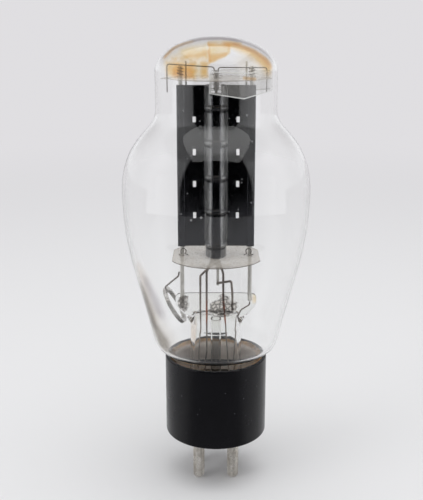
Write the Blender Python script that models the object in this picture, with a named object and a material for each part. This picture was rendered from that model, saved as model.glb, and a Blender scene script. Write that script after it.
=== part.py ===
"""Directly heated power triode in a shouldered glass bulb on a four-pin base.

The tube stands on its pins. The origin is on the floor under the tube's axis, +Z is up, the thick
pins and the broad face of the plate look towards -Y. Units are metres.
"""
import math

import bmesh
import bpy
from mathutils import Matrix, Vector

MM = 0.001
GAP = 0.3 * MM                      # clearance between two pieces that touch

# pins and base
PIN_LENGTH = 16.6 * MM
THICK_PIN_R = 1.98 * MM
THIN_PIN_R = 1.59 * MM
PIN_SPACING_X = 11.89 * MM
PIN_SPACING_Y = 11.1 * MM
PIN_TIP_FLAT_R = 0.9 * MM
PIN_TIP_ROUND = 0.8 * MM
PIN_WALL = 0.55 * MM
PIN_HEAD_EXTRA = 0.7 * MM
PIN_HEAD_HEIGHT = 1.0 * MM
PIN_SOLDER_DEPTH = 2.5 * MM
BASE_HEIGHT = 28.1 * MM
BASE_R = 17.45 * MM
BASE_WALL = 1.1 * MM
BASE_FLOOR = 2.2 * MM
BASE_EDGE = 0.5 * MM
CEMENT_THICKNESS = 1.55 * MM        # between the bulb's neck and the cup
CEMENT_DEPTH = 9.0 * MM
CEMENT_SINK = 0.5 * MM
BAYONET_R = 1.15 * MM
BAYONET_REACH = 2.2 * MM
BAYONET_RISE = 8.0 * MM
BAYONET_HEAD_R = 1.9 * MM
BAYONET_HEAD = 0.6 * MM
BAYONET_ROUNDING = 0.4 * MM

# bulb
TUBE_HEIGHT = 151.4 * MM
BULB_WALL = 1.0 * MM
DOME_R = 19.6 * MM
DOME_CROWN = 10.8 * MM
DOME_SIDE = 12.0 * MM
SHOULDER_R = 24.0 * MM
SHOULDER_DROP = 7.7 * MM
BELLY_R = 30.95 * MM
BELLY_Z = 101.5 * MM
CONE_R = 21.9 * MM
CONE_Z = 53.4 * MM
NECK_R = BASE_R - BASE_WALL - CEMENT_THICKNESS
NECK_TOP_Z = 42.6 * MM
NECK_SEAL_Z = 31.0 * MM

# stem: flare, neck and press
PRESS_HALF_WIDTH = 13.8 * MM
PRESS_HALF_DEPTH = 2.2 * MM
PRESS_TOP_Z = 66.6 * MM
PRESS_HEIGHT = 5.6 * MM
PRESS_LIP = 1.6 * MM
STEM_NECK_R = 8.7 * MM
STEM_NECK_Z = 54.5 * MM
STEM_WALL = 1.2 * MM
FLARE_THICKNESS = 1.0 * MM
FLARE_START_Z = 45.0 * MM
HOLLOW_TOP_Z = 57.4 * MM
HOLLOW_SHOULDER = 1.0 * MM
HOLLOW_CLEAR_DEPTH = 4.0 * MM
FLARE_STEPS = 5
EXHAUST_R = 1.8 * MM
EXHAUST_WALL = 0.5 * MM
EXHAUST_TIP_Z = 24.0 * MM
EXHAUST_TAPER = 3.0 * MM
EXHAUST_TOP_DROP = 0.45 * MM
THROUGH = 1.0 * MM                  # how far a cutter stands out of the piece it cuts

# micas
MICA_THICKNESS = 0.3 * MM
LOWER_MICA_Z = 79.8 * MM
LOWER_MICA_R = 16.0 * MM
LOWER_MICA_HALF_WIDTH = 14.5 * MM
UPPER_MICA_Z = 138.3 * MM
UPPER_MICA_R = 15.3 * MM
UPPER_MICA_TAB_REACH = 17.8 * MM
UPPER_MICA_TAB_ROOT = 7.2 * MM
UPPER_MICA_TAB_TIP = 2.4 * MM
BUMPER_THICKNESS = 0.3 * MM
BUMPER_TOP_Z = 140.8 * MM
BUMPER_CORNER_R = 2.0 * MM
BUMPER_INNER_END = (-2.1 * MM, -6.6 * MM, 133.9 * MM)
BUMPER_FOLD = (8.1 * MM, -16.2 * MM, 133.0 * MM)
BUMPER_OUTER_END = (17.8 * MM, -2.4 * MM, 134.6 * MM)

# plate and its rods
SHEET = 0.3 * MM
ANODE_WING_BOTTOM_Z = 83.3 * MM
ANODE_TOP_Z = 136.2 * MM
COLUMN_HALF_WIDTH = 3.45 * MM
COLUMN_HALF_DEPTH = 5.2 * MM
COLUMN_RING_RISE = 0.75 * MM
COLUMN_RING_HEIGHT = 1.9 * MM
COLUMN_RING_COUNT = 5
COLUMN_RING_PITCH = 11.2 * MM
COLUMN_FIRST_RING_Z = 84.5 * MM
COLUMN_NOTCH_HALF_WIDTH = 1.7 * MM
COLUMN_NOTCH_DEPTH = 3.0 * MM
WINDOW_WIDTH = 1.05 * MM
WINDOW_HEIGHT = 2.15 * MM
WINDOW_X = 7.1 * MM
WINDOW_COUNT = 4
WINDOW_FIRST_Z = 93.65 * MM
WINDOW_PITCH = 10.5 * MM
CHANNEL_CORNER = 0.35 * MM
PLATE_ROD_R = 0.7 * MM
PLATE_ROD_X = 11.45 * MM
PLATE_ROD_TOP_Z = 142.4 * MM
LEFT_ROD_FOOT_Z = 61.5 * MM
RIGHT_ROD_FOOT_Z = 64.0 * MM
TIE_ROD_R = 0.35 * MM
TIE_ROD_X = 9.75 * MM
TIE_ROD_TOP_Z = 144.0 * MM
TIE_ROD_FOOT_RISE = 2.0 * MM         # above the lower edge of the plate's wings
WRAP_WIRE_R = 0.15 * MM
WRAP_CLEARANCE = 0.15 * MM
WRAP_TURNS = 3
WRAP_PITCH = 1.0 * MM
CLIP_WIRE_R = 0.2 * MM
CLIP_RING_R = 0.9 * MM
CLIP_INSET = 0.55 * MM
CLIP_FOOT_SPREAD = 1.6 * MM
CLIP_Y = -1.4 * MM
CLIP_RING_LIFT = 0.35 * MM

# grid and filament, inside the column
GRID_ROD_R = 0.4 * MM
GRID_ROD_Y = 3.3 * MM
GRID_ROD_FOOT_Z = 77.3 * MM
GRID_ROD_TOP_Z = 140.7 * MM
GRID_WIRE_R = 0.12 * MM
GRID_HALF_WIDTH = 1.95 * MM
GRID_HALF_DEPTH = 4.3 * MM
GRID_TURNS = 16
GRID_BOTTOM_Z = 82.0 * MM
GRID_TOP_Z = 140.2 * MM
FILAMENT_R = 0.12 * MM
FILAMENT_BEND_R = 0.75 * MM
FILAMENT_HOOK_Y = 1.5 * MM
FILAMENT_TOP_Z = 134.4 * MM
FILAMENT_BOTTOM_Z = 82.6 * MM
FILAMENT_TAIL = 0.6 * MM
HOOK_WIRE_R = 0.22 * MM
HOOK_BEND_R = 0.64 * MM
CENTRE_HOOK_TAIL = 4.0 * MM
SPRING_LEFT_REACH = 15.6 * MM
SPRING_RIGHT_REACH = 16.4 * MM
SPRING_LEG_FOOT_Z = 134.0 * MM
SPRING_LEFT_RISE = 4.5 * MM
SPRING_LEFT_DROOP = 0.9 * MM
SPRING_RIGHT_RISE = 3.2 * MM
SPRING_RIGHT_DROOP = -0.2 * MM
SPRING_CORNER_R = 1.0 * MM

# leads
LEAD_R = 0.4 * MM
LOWER_LEAD_R = 0.25 * MM
BELOW_MICA = 2.0 * MM
LEFT_LEAD_X = -5.3 * MM
LEFT_LEAD_BEND_Z = 72.7 * MM
GRID_LEAD_X = -3.15 * MM
GRID_LEAD_BEND_Z = 74.0 * MM
GRID_LEAD_DROP = 1.2 * MM
RIGHT_LEAD_X = 2.5 * MM
RIGHT_LEAD_BEND_Z = 73.5 * MM
RIGHT_LEAD_SPLAY = 0.9 * MM
PLATE_LEAD_X = 7.1 * MM
PLATE_LEAD_BENDS = ((PLATE_ROD_X, 62.6 * MM), (8.6 * MM, 60.8 * MM), (7.3 * MM, 58.0 * MM))
LEAD_SPREAD_Z = 45.0 * MM           # below this the leads part towards the pins
LEAD_SPREAD = 0.6 * MM
PIN_ENTRY_RISE = 3.0 * MM
CENTRE_SUPPORT_X = 5.2 * MM
CENTRE_SUPPORT_FOOT_Z = 60.7 * MM
CENTRE_SUPPORT_TOP_Z = 71.3 * MM
CENTRE_SUPPORT_BEND_R = 0.7 * MM
CENTRE_SUPPORT_WELD_RISE = 1.0 * MM
CENTRE_SUPPORT_LEAN = 0.4 * MM
STRAP_WIDTH = 0.9 * MM
STRAP_THICKNESS = 0.25 * MM
STRAP_FOOT_Z = 69.5 * MM
BEND_R = 1.5 * MM

# getter
GETTER_R = 6.25 * MM
GETTER_CHANNEL = 1.2 * MM
GETTER_SHEET = 0.25 * MM
GETTER_SIDE = -13.75 * MM
GETTER_BEHIND = 2.5 * MM
GETTER_BELOW_PRESS_TOP = 4.75 * MM
GETTER_FACE_DOWN = math.radians(59.0)
GETTER_FACE_AZIMUTH = math.radians(179.0)
GETTER_ARM_R = 0.3 * MM
GETTER_ARM_Z = 72.6 * MM
GETTER_ARM_TOP = 1.5 * MM
GETTER_ARM_END = 1.1 * MM

# heights and radii that follow from the sizes above
BASE_BOTTOM_Z = PIN_LENGTH
BASE_RIM_Z = BASE_BOTTOM_Z + BASE_HEIGHT
BASE_FLOOR_Z = BASE_BOTTOM_Z + BASE_FLOOR
BASE_INNER_R = BASE_R - BASE_WALL
PRESS_BOTTOM_Z = PRESS_TOP_Z - PRESS_HEIGHT
GETTER_CENTRE = (GETTER_SIDE, GETTER_BEHIND, PRESS_TOP_Z - GETTER_BELOW_PRESS_TOP)
CHANNEL_HALF = PLATE_ROD_R + GAP + SHEET
TIE_ROD_Y = CHANNEL_HALF + GAP + TIE_ROD_R
COLUMN_BOTTOM_Z = LOWER_MICA_Z + MICA_THICKNESS / 2 + GAP
LOWER_MICA_TOP_Z = LOWER_MICA_Z + MICA_THICKNESS / 2
UPPER_MICA_TOP_Z = UPPER_MICA_Z + MICA_THICKNESS / 2

# facets
BULB_SEGMENTS = 24
BASE_SEGMENTS = 32
STEM_SEGMENTS = 24
PIN_SEGMENTS = 12
HOLE_SEGMENTS = 10
COLUMN_STEPS = 8
WIRE_RESOLUTION = 1                 # 6 sides
FINE_WIRE_RESOLUTION = 0            # 4 sides
GRID_POINTS_PER_TURN = 8
WRAP_POINTS_PER_TURN = 8
RING_SEGMENTS = 24
SMOOTH_ANGLE = math.radians(35.0)


def clear_scene():
    for obj in list(bpy.data.objects):
        bpy.data.objects.remove(obj, do_unlink=True)


def make_material(name, colour, roughness, metallic=0.0, transmission=0.0, alpha=1.0):
    material = bpy.data.materials.new(name)
    material.use_nodes = True
    shader = material.node_tree.nodes["Principled BSDF"]
    shader.inputs["Base Color"].default_value = (*colour, 1.0)
    shader.inputs["Roughness"].default_value = roughness
    shader.inputs["Metallic"].default_value = metallic
    shader.inputs["Transmission Weight"].default_value = transmission
    shader.inputs["Alpha"].default_value = alpha
    material.diffuse_color = (*colour, alpha)
    return material


def make_materials():
    return {
        "bulb_glass": make_material("bulb_glass", (0.93, 0.95, 0.94), 0.02, 0.0, 1.0),
        "stem_glass": make_material("stem_glass", (0.88, 0.91, 0.89), 0.04, 0.0, 1.0),
        "black_base": make_material("black_base", (0.02, 0.021, 0.024), 0.35),
        "cement": make_material("cement", (0.36, 0.22, 0.11), 0.9),
        "pin_nickel": make_material("pin_nickel", (0.48, 0.47, 0.44), 0.38, 1.0),
        "plate_black": make_material("plate_black", (0.018, 0.018, 0.02), 0.42, 0.3),
        "mica": make_material("mica", (0.82, 0.78, 0.70), 0.15, 0.0, 0.7),
        "bumper_mica": make_material("bumper_mica", (0.9, 0.9, 0.88), 0.08, 0.0, 0.9),
        "rod_nickel": make_material("rod_nickel", (0.42, 0.40, 0.37), 0.35, 1.0),
        "spring_wire": make_material("spring_wire", (0.24, 0.22, 0.20), 0.4, 1.0),
        "grid_wire": make_material("grid_wire", (0.33, 0.31, 0.29), 0.4, 1.0),
        "filament_oxide": make_material("filament_oxide", (0.8, 0.79, 0.75), 0.8),
        "lead_wire": make_material("lead_wire", (0.2, 0.15, 0.13), 0.45, 0.8),
        "getter_steel": make_material("getter_steel", (0.36, 0.35, 0.34), 0.4, 1.0),
    }


def add_object(name, data, material):
    obj = bpy.data.objects.new(name, data)
    obj.data.materials.append(material)
    bpy.context.scene.collection.objects.link(obj)
    return obj


def mesh_object(name, bm, material, smooth=True):
    bmesh.ops.recalc_face_normals(bm, faces=bm.faces)
    if bm.calc_volume(signed=True) < 0:
        bmesh.ops.reverse_faces(bm, faces=bm.faces)
    mesh = bpy.data.meshes.new(name)
    bm.to_mesh(mesh)
    bm.free()
    if smooth:
        mesh.shade_smooth()
        mesh.set_sharp_from_angle(angle=SMOOTH_ANGLE)
    return add_object(name, mesh, material)


def hide_guide(obj):
    obj.hide_render = True
    obj.display_type = "WIRE"


def cut(obj, cutter):
    hide_guide(cutter)
    modifier = obj.modifiers.new("cut " + cutter.name, "BOOLEAN")
    modifier.operation = "DIFFERENCE"
    modifier.object = cutter


def turned(profile, segments):
    """bmesh of a closed (radius, height) outline turned about Z."""
    bm = bmesh.new()
    verts = [bm.verts.new((r, 0.0, z)) for r, z in profile]
    edges = [bm.edges.new((a, b)) for a, b in zip(verts, verts[1:] + verts[:1])]
    bmesh.ops.spin(bm, geom=verts + edges, cent=(0, 0, 0), axis=(0, 0, 1), dvec=(0, 0, 0),
                   angle=math.tau, steps=segments, use_merge=True)
    bmesh.ops.remove_doubles(bm, verts=bm.verts, dist=1e-7)
    bmesh.ops.dissolve_degenerate(bm, edges=bm.edges, dist=1e-7)
    return bm


def arc(centre, radii, start, end, steps):
    """points on an ellipse arc in a plane, both ends included; angles in degrees"""
    points = []
    for i in range(steps + 1):
        angle = math.radians(start + (end - start) * i / steps)
        points.append((centre[0] + radii[0] * math.cos(angle), centre[1] + radii[1] * math.sin(angle)))
    return points


def ease(start, start_direction, end, end_direction, steps, pull=0.38):
    """cubic curve between two points that leaves and arrives along the given directions"""
    p0, p3 = Vector(start), Vector(end)
    reach = (p3 - p0).length * pull
    p1 = p0 + Vector(start_direction).normalized() * reach
    p2 = p3 - Vector(end_direction).normalized() * reach
    points = []
    for i in range(1, steps + 1):
        t = i / steps
        s = 1.0 - t
        point = p0 * s ** 3 + p1 * (3 * s * s * t) + p2 * (3 * s * t * t) + p3 * t ** 3
        points.append(tuple(point))
    return points


def offset_inward(points, distance):
    """the outline moved towards the axis side by a wall thickness"""
    moved = []
    last = len(points) - 1
    for i, point in enumerate(points):
        before = Vector(points[max(i - 1, 0)])
        after = Vector(points[min(i + 1, last)])
        along = (after - before).normalized()
        inward = Vector((along.y, -along.x))
        moved.append(tuple(Vector(point) + inward * distance))
    return moved


def rounded_path(corners, radius, steps=3):
    """a wire's route: straight runs through the corners, each bend an arc of about the radius"""
    corners = [Vector(c) for c in corners]
    path = [corners[0]]
    for before, corner, after in zip(corners, corners[1:], corners[2:]):
        inward = (before - corner).normalized()
        outward = (after - corner).normalized()
        turn = math.pi - inward.angle(outward)
        reach = radius * math.tan(turn / 2)
        reach = min(reach, (before - corner).length * 0.45, (after - corner).length * 0.45)
        start = corner + inward * reach
        end = corner + outward * reach
        for i in range(steps + 1):
            t = i / steps
            path.append(start * (1 - t) ** 2 + corner * (2 * t * (1 - t)) + end * t ** 2)
    path.append(corners[-1])
    return path


def wire(name, path, radius, material, resolution=WIRE_RESOLUTION, thin_below=None, thin_radius=None):
    """round wire along a route; below a height it can go on thinner"""
    curve = bpy.data.curves.new(name, "CURVE")
    curve.dimensions = "3D"
    curve.bevel_depth = radius
    curve.bevel_resolution = resolution
    curve.use_fill_caps = True
    spline = curve.splines.new("POLY")
    spline.points.add(len(path) - 1)
    for point, position in zip(spline.points, path):
        point.co = (*position, 1.0)
        if thin_below is not None and position[2] < thin_below:
            point.radius = thin_radius / radius
    return add_object(name, curve, material)


def wire_bore(name, path, radius, material):
    """mesh of a round bore along a wire's route, to cut with"""
    guide = wire(name + "_route", path, radius, material)
    depsgraph = bpy.context.evaluated_depsgraph_get()
    mesh = bpy.data.meshes.new_from_object(guide.evaluated_get(depsgraph))
    bpy.data.objects.remove(guide, do_unlink=True)
    bm = bmesh.new()
    bm.from_mesh(mesh)
    bmesh.ops.remove_doubles(bm, verts=bm.verts, dist=1e-7)
    return mesh_object(name, bm, material, smooth=False)


def rod(name, x, y, bottom, top, radius, material, segments=10):
    """straight round rod with a small chamfer at both ends"""
    edge = radius * 0.3
    profile = [(0.0, bottom), (radius - edge, bottom), (radius, bottom + edge),
               (radius, top - edge), (radius - edge, top), (0.0, top)]
    obj = mesh_object(name, turned(profile, segments), material)
    obj.location = (x, y, 0.0)
    return obj


def round_cutter(name, hole, bottom, top, material):
    """round cutter along Z for a hole given as x, y and radius"""
    x, y, radius = hole
    bm = bmesh.new()
    bmesh.ops.create_cone(bm, cap_ends=True, segments=HOLE_SEGMENTS, radius1=radius, radius2=radius,
                          depth=top - bottom, matrix=Matrix.Translation((x, y, (bottom + top) / 2)))
    return mesh_object(name, bm, material, smooth=False)


def cut_holes(obj, holes, bottom, top, material):
    for number, hole in enumerate(holes, 1):
        cut(obj, round_cutter(f"{obj.name}_hole_{number}", hole, bottom, top, material))


def extruded(name, outline, bottom, top, material):
    """flat outline in the XY plane given a thickness"""
    bm = bmesh.new()
    face = bm.faces.new([bm.verts.new((x, y, bottom)) for x, y in outline])
    result = bmesh.ops.extrude_face_region(bm, geom=[face])
    raised = [item for item in result["geom"] if isinstance(item, bmesh.types.BMVert)]
    bmesh.ops.translate(bm, verts=raised, vec=(0, 0, top - bottom))
    return mesh_object(name, bm, material, smooth=False)


def bulb_outline():
    """outer outline from the crown down to the seal, as (radius, height)"""
    crown_z = TUBE_HEIGHT - DOME_CROWN
    side_z = crown_z - DOME_SIDE
    shoulder_z = side_z - SHOULDER_DROP
    down = (0.0, -1.0)
    slope = (0.66, -0.75)
    lean = (-0.21, -0.98)
    points = [(r, z) for r, z in arc((0.0, crown_z), (DOME_R, DOME_CROWN), 90, 0, 6)]
    points[0] = (0.0, TUBE_HEIGHT)
    points.append((DOME_R, side_z))
    points += ease((DOME_R, side_z), down, (SHOULDER_R, shoulder_z), slope, 3)
    points += ease((SHOULDER_R, shoulder_z), slope, (BELLY_R, BELLY_Z), down, 4)
    points += ease((BELLY_R, BELLY_Z), down, (CONE_R, CONE_Z), lean, 4)
    points += ease((CONE_R, CONE_Z), lean, (NECK_R, NECK_TOP_Z), (-0.45, -0.9), 5, pull=0.62)
    points.append((NECK_R, NECK_SEAL_Z))
    return points


def make_bulb(materials):
    outer = bulb_outline()
    inner = offset_inward(outer, BULB_WALL)
    inner[0] = (0.0, TUBE_HEIGHT - BULB_WALL)
    inner[-1] = (NECK_R - BULB_WALL, NECK_SEAL_Z)
    return mesh_object("bulb", turned(outer + inner[::-1], BULB_SEGMENTS), materials["bulb_glass"])


def stem_ring(half_width, half_depth, z, squareness):
    """one cross-section of the stem: an ellipse that flattens to a rounded slab"""
    ring = []
    for i in range(STEM_SEGMENTS):
        angle = math.tau * i / STEM_SEGMENTS
        c, s = math.cos(angle), math.sin(angle)
        power = 2.0 / squareness
        x = half_width * math.copysign(abs(c) ** power, c)
        y = half_depth * math.copysign(abs(s) ** power, s)
        ring.append((x, y, z))
    return ring


def stem_stations():
    """cross-sections down the outside of the stem: half width, half depth, height, squareness"""
    press = [
        (PRESS_HALF_WIDTH - PRESS_LIP, PRESS_HALF_DEPTH * 0.45, PRESS_TOP_Z, 2.6),
        (PRESS_HALF_WIDTH - PRESS_LIP / 3, PRESS_HALF_DEPTH * 0.85, PRESS_TOP_Z - PRESS_LIP / 3, 2.8),
        (PRESS_HALF_WIDTH, PRESS_HALF_DEPTH, PRESS_TOP_Z - PRESS_LIP, 3.0),
        (PRESS_HALF_WIDTH, PRESS_HALF_DEPTH, PRESS_BOTTOM_Z, 3.0),
    ]
    spread = []
    steps = 5
    for i in range(1, steps + 1):
        t = i / steps
        blend = t * t * (3 - 2 * t)
        half_width = PRESS_HALF_WIDTH + (STEM_NECK_R - PRESS_HALF_WIDTH) * blend
        half_depth = PRESS_HALF_DEPTH + (STEM_NECK_R - PRESS_HALF_DEPTH) * t ** 1.3
        z = PRESS_BOTTOM_Z + (STEM_NECK_Z - PRESS_BOTTOM_Z) * t
        spread.append((half_width, half_depth, z, 3.0 - t))
    flare = [(STEM_NECK_R, STEM_NECK_R, FLARE_START_Z, 2.0)]
    lip_z = NECK_SEAL_Z - GAP
    skirt_r = NECK_R - BULB_WALL - FLARE_THICKNESS
    for i in range(1, FLARE_STEPS + 1):
        t = i / FLARE_STEPS
        radius = STEM_NECK_R + (skirt_r - STEM_NECK_R) * t ** 2
        z = FLARE_START_Z + (lip_z - FLARE_START_Z) * math.sin(t * math.pi / 2)
        flare.append((radius, radius, z, 2.0))
    flare.append((NECK_R, NECK_R, lip_z, 2.0))
    return press + spread + flare


def hollow_stations():
    """cross-sections of the stem's hollow, from the flare's mouth up to its closed end"""
    lip_bottom_z = NECK_SEAL_Z - GAP - FLARE_THICKNESS
    inner_r = STEM_NECK_R - STEM_WALL
    mouth_r = NECK_R - BULB_WALL - FLARE_THICKNESS - STEM_WALL
    stations = [(NECK_R, NECK_R, lip_bottom_z)]
    for i in range(FLARE_STEPS):
        t = 1.0 - i / FLARE_STEPS
        radius = inner_r + (mouth_r - inner_r) * t ** 2
        z = FLARE_START_Z + (lip_bottom_z - FLARE_START_Z) * math.sin(t * math.pi / 2)
        stations.append((radius, radius, z))
    stations.append((inner_r, inner_r, FLARE_START_Z))
    shoulder_z = STEM_NECK_Z - HOLLOW_SHOULDER
    stations.append((inner_r, inner_r, shoulder_z))
    steps = 4
    for i in range(1, steps + 1):
        t = i / steps
        shrink = math.cos(t * math.pi / 2 * 0.94)
        z = shoulder_z + (HOLLOW_TOP_Z - shoulder_z) * math.sin(t * math.pi / 2)
        stations.append((inner_r * shrink ** 0.5, inner_r * shrink, z))
    return stations


def make_stem(materials, lead_routes):
    """flare, neck and press as one loft, hollow from below, bored for the rods and leads"""
    outside = [stem_ring(*station) for station in stem_stations()]
    inside = [stem_ring(w, d, z, 2.0) for w, d, z in hollow_stations()]
    bm = bmesh.new()
    rings = [[bm.verts.new(p) for p in ring] for ring in outside + inside]
    for upper, lower in zip(rings, rings[1:]):
        for i in range(STEM_SEGMENTS):
            j = (i + 1) % STEM_SEGMENTS
            bm.faces.new((upper[i], upper[j], lower[j], lower[i]))
    bm.faces.new(rings[0])
    bm.faces.new(rings[-1][::-1])
    stem = mesh_object("stem", bm, materials["stem_glass"])
    guide = materials["stem_glass"]
    for side, foot in ((-1, LEFT_ROD_FOOT_Z), (1, RIGHT_ROD_FOOT_Z)):
        cut(stem, round_cutter(f"rod_bore_{side}", (side * PLATE_ROD_X, 0.0, PLATE_ROD_R + GAP),
                               foot - GAP, PRESS_TOP_Z + THROUGH, guide))
    for name, (path, radius) in lead_routes.items():
        cut(stem, wire_bore(name + "_bore", path, radius + GAP, guide))
    return stem


def make_exhaust_tube(materials):
    """pumping tube: open under the stem's hollow, drawn to a closed tip inside the base"""
    top = HOLLOW_TOP_Z - EXHAUST_TOP_DROP
    taper_z = EXHAUST_TIP_Z + EXHAUST_TAPER
    tip_wall = EXHAUST_WALL * 2
    inner_r = EXHAUST_R - EXHAUST_WALL
    outer = arc((0.0, taper_z), (EXHAUST_R, EXHAUST_TAPER), 0, -90, 4)
    outer[-1] = (0.0, EXHAUST_TIP_Z)
    inner = arc((0.0, taper_z), (inner_r, EXHAUST_TAPER - tip_wall), -90, 0, 4)
    inner[0] = (0.0, EXHAUST_TIP_Z + tip_wall)
    profile = [(EXHAUST_R, top)] + outer + inner + [(inner_r, top)]
    return mesh_object("exhaust_tube", turned(profile, PIN_SEGMENTS), materials["stem_glass"])


def pin_places():
    """name, x, y and radius of the four pins"""
    x = PIN_SPACING_X / 2
    y = PIN_SPACING_Y / 2
    return [
        ("filament_pin_left", -x, -y, THICK_PIN_R),
        ("filament_pin_right", x, -y, THICK_PIN_R),
        ("grid_pin", -x, y, THIN_PIN_R),
        ("plate_pin", x, y, THIN_PIN_R),
    ]


def pin_head_z():
    return BASE_FLOOR_Z + GAP


def make_pins(materials):
    """hollow pins with a head on the base's floor and a rounded, soldered tip"""
    pins = []
    for name, x, y, radius in pin_places():
        bore_r = radius - PIN_WALL
        head_z = pin_head_z()
        head_top = head_z + PIN_HEAD_HEIGHT
        tip = arc((PIN_TIP_FLAT_R, PIN_TIP_ROUND), (radius - PIN_TIP_FLAT_R, PIN_TIP_ROUND), -90, 0, 4)
        profile = [(0.0, 0.0)] + tip
        profile += [(radius, head_z), (radius + PIN_HEAD_EXTRA, head_z), (radius + PIN_HEAD_EXTRA, head_top)]
        profile += [(bore_r, head_top), (bore_r, PIN_SOLDER_DEPTH), (0.0, PIN_SOLDER_DEPTH)]
        pin = mesh_object(name, turned(profile, PIN_SEGMENTS), materials["pin_nickel"])
        pin.location = (x, y, 0.0)
        pins.append(pin)
    return pins


def bayonet_z():
    return BASE_BOTTOM_Z + BAYONET_RISE


def make_base(materials):
    """moulded cup with four pin holes and the bayonet pin's hole at the back"""
    profile = [
        (0.0, BASE_BOTTOM_Z),
        (BASE_R - BASE_EDGE, BASE_BOTTOM_Z),
        (BASE_R, BASE_BOTTOM_Z + BASE_EDGE),
        (BASE_R, BASE_RIM_Z - BASE_EDGE / 2),
        (BASE_R - BASE_EDGE / 2, BASE_RIM_Z),
        (BASE_INNER_R, BASE_RIM_Z),
        (BASE_INNER_R, BASE_FLOOR_Z + 2 * BASE_EDGE),
        (BASE_INNER_R - 2 * BASE_EDGE, BASE_FLOOR_Z),
        (0.0, BASE_FLOOR_Z),
    ]
    base = mesh_object("base_shell", turned(profile, BASE_SEGMENTS), materials["black_base"])
    holes = [(x, y, radius + GAP) for _, x, y, radius in pin_places()]
    cut_holes(base, holes, BASE_BOTTOM_Z - THROUGH, BASE_FLOOR_Z + THROUGH, materials["black_base"])
    side = round_cutter("bayonet_hole", (0.0, 0.0, BAYONET_R + GAP), -3 * BASE_WALL, 3 * BASE_WALL,
                        materials["black_base"])
    side.rotation_euler = (math.radians(-90), 0, 0)
    side.location = (0.0, BASE_R, bayonet_z())
    cut(base, side)
    return base


def make_bayonet_pin(materials):
    """short round pin through the base's wall, with its rivet head inside"""
    inside = BASE_INNER_R - GAP
    profile = [
        (0.0, inside - BAYONET_HEAD),
        (BAYONET_HEAD_R, inside - BAYONET_HEAD),
        (BAYONET_HEAD_R, inside),
        (BAYONET_R, inside),
    ]
    reach = BASE_R + BAYONET_REACH
    profile += arc((BAYONET_R - BAYONET_ROUNDING, reach - BAYONET_ROUNDING),
                   (BAYONET_ROUNDING, BAYONET_ROUNDING), 0, 90, 3)
    profile.append((0.0, reach))
    pin = mesh_object("bayonet_pin", turned(profile, PIN_SEGMENTS), materials["pin_nickel"])
    pin.rotation_euler = (math.radians(-90), 0, 0)
    pin.location = (0.0, 0.0, bayonet_z())
    return pin


def radius_at(outline, z):
    """radius of a falling outline at a height"""
    for (r0, z0), (r1, z1) in zip(outline, outline[1:]):
        if z0 >= z >= z1 and z0 > z1:
            return r0 + (r1 - r0) * (z0 - z) / (z0 - z1)
    return outline[-1][0]


def make_cement(materials):
    """ring of cement: outside on the base's wall, inside along the bulb's bowl and neck"""
    top = BASE_RIM_Z - CEMENT_SINK
    bottom = top - CEMENT_DEPTH
    outer_r = BASE_INNER_R - GAP
    grown = offset_inward(bulb_outline(), -GAP)
    inner = [(r, z) for r, z in grown if bottom < z < top]
    profile = [(outer_r, bottom), (outer_r, top), (radius_at(grown, top), top)]
    profile += inner + [(radius_at(grown, bottom), bottom)]
    return mesh_object("base_cement", turned(profile, BASE_SEGMENTS), materials["cement"])


def lower_mica_outline():
    """round front and back, straight sides"""
    corner = math.degrees(math.acos(LOWER_MICA_HALF_WIDTH / LOWER_MICA_R))
    back = arc((0, 0), (LOWER_MICA_R, LOWER_MICA_R), corner, 180 - corner, 12)
    front = arc((0, 0), (LOWER_MICA_R, LOWER_MICA_R), 180 + corner, 360 - corner, 12)
    return back + front


def upper_mica_outline():
    """disc with a blunt tab at each side that steadies it against the dome"""
    corner = math.degrees(math.asin(UPPER_MICA_TAB_ROOT / 2 / UPPER_MICA_R))
    back = arc((0, 0), (UPPER_MICA_R, UPPER_MICA_R), corner, 180 - corner, 14)
    front = arc((0, 0), (UPPER_MICA_R, UPPER_MICA_R), 180 + corner, 360 - corner, 14)
    tip = UPPER_MICA_TAB_TIP / 2
    left_tab = [(-UPPER_MICA_TAB_REACH, tip), (-UPPER_MICA_TAB_REACH, -tip)]
    right_tab = [(UPPER_MICA_TAB_REACH, -tip), (UPPER_MICA_TAB_REACH, tip)]
    return back + left_tab + front + right_tab


def spring_legs():
    """x and y of the outer legs of the two filament springs"""
    return {"left": (-SPRING_LEFT_REACH, -FILAMENT_HOOK_Y), "right": (SPRING_RIGHT_REACH, FILAMENT_HOOK_Y)}


def lead_top_places():
    """x and y where the leads and the centre hook pass the lower mica, with their radius"""
    beside_filament = FILAMENT_R + LEAD_R + GAP
    outer_strand_y = FILAMENT_HOOK_Y + FILAMENT_BEND_R
    return {
        "filament_lead_left": (-beside_filament, -outer_strand_y, LEAD_R),
        "filament_lead_right": (beside_filament, outer_strand_y, LEAD_R),
        "centre_hook": (HOOK_BEND_R, 0.0, HOOK_WIRE_R),
    }


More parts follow.
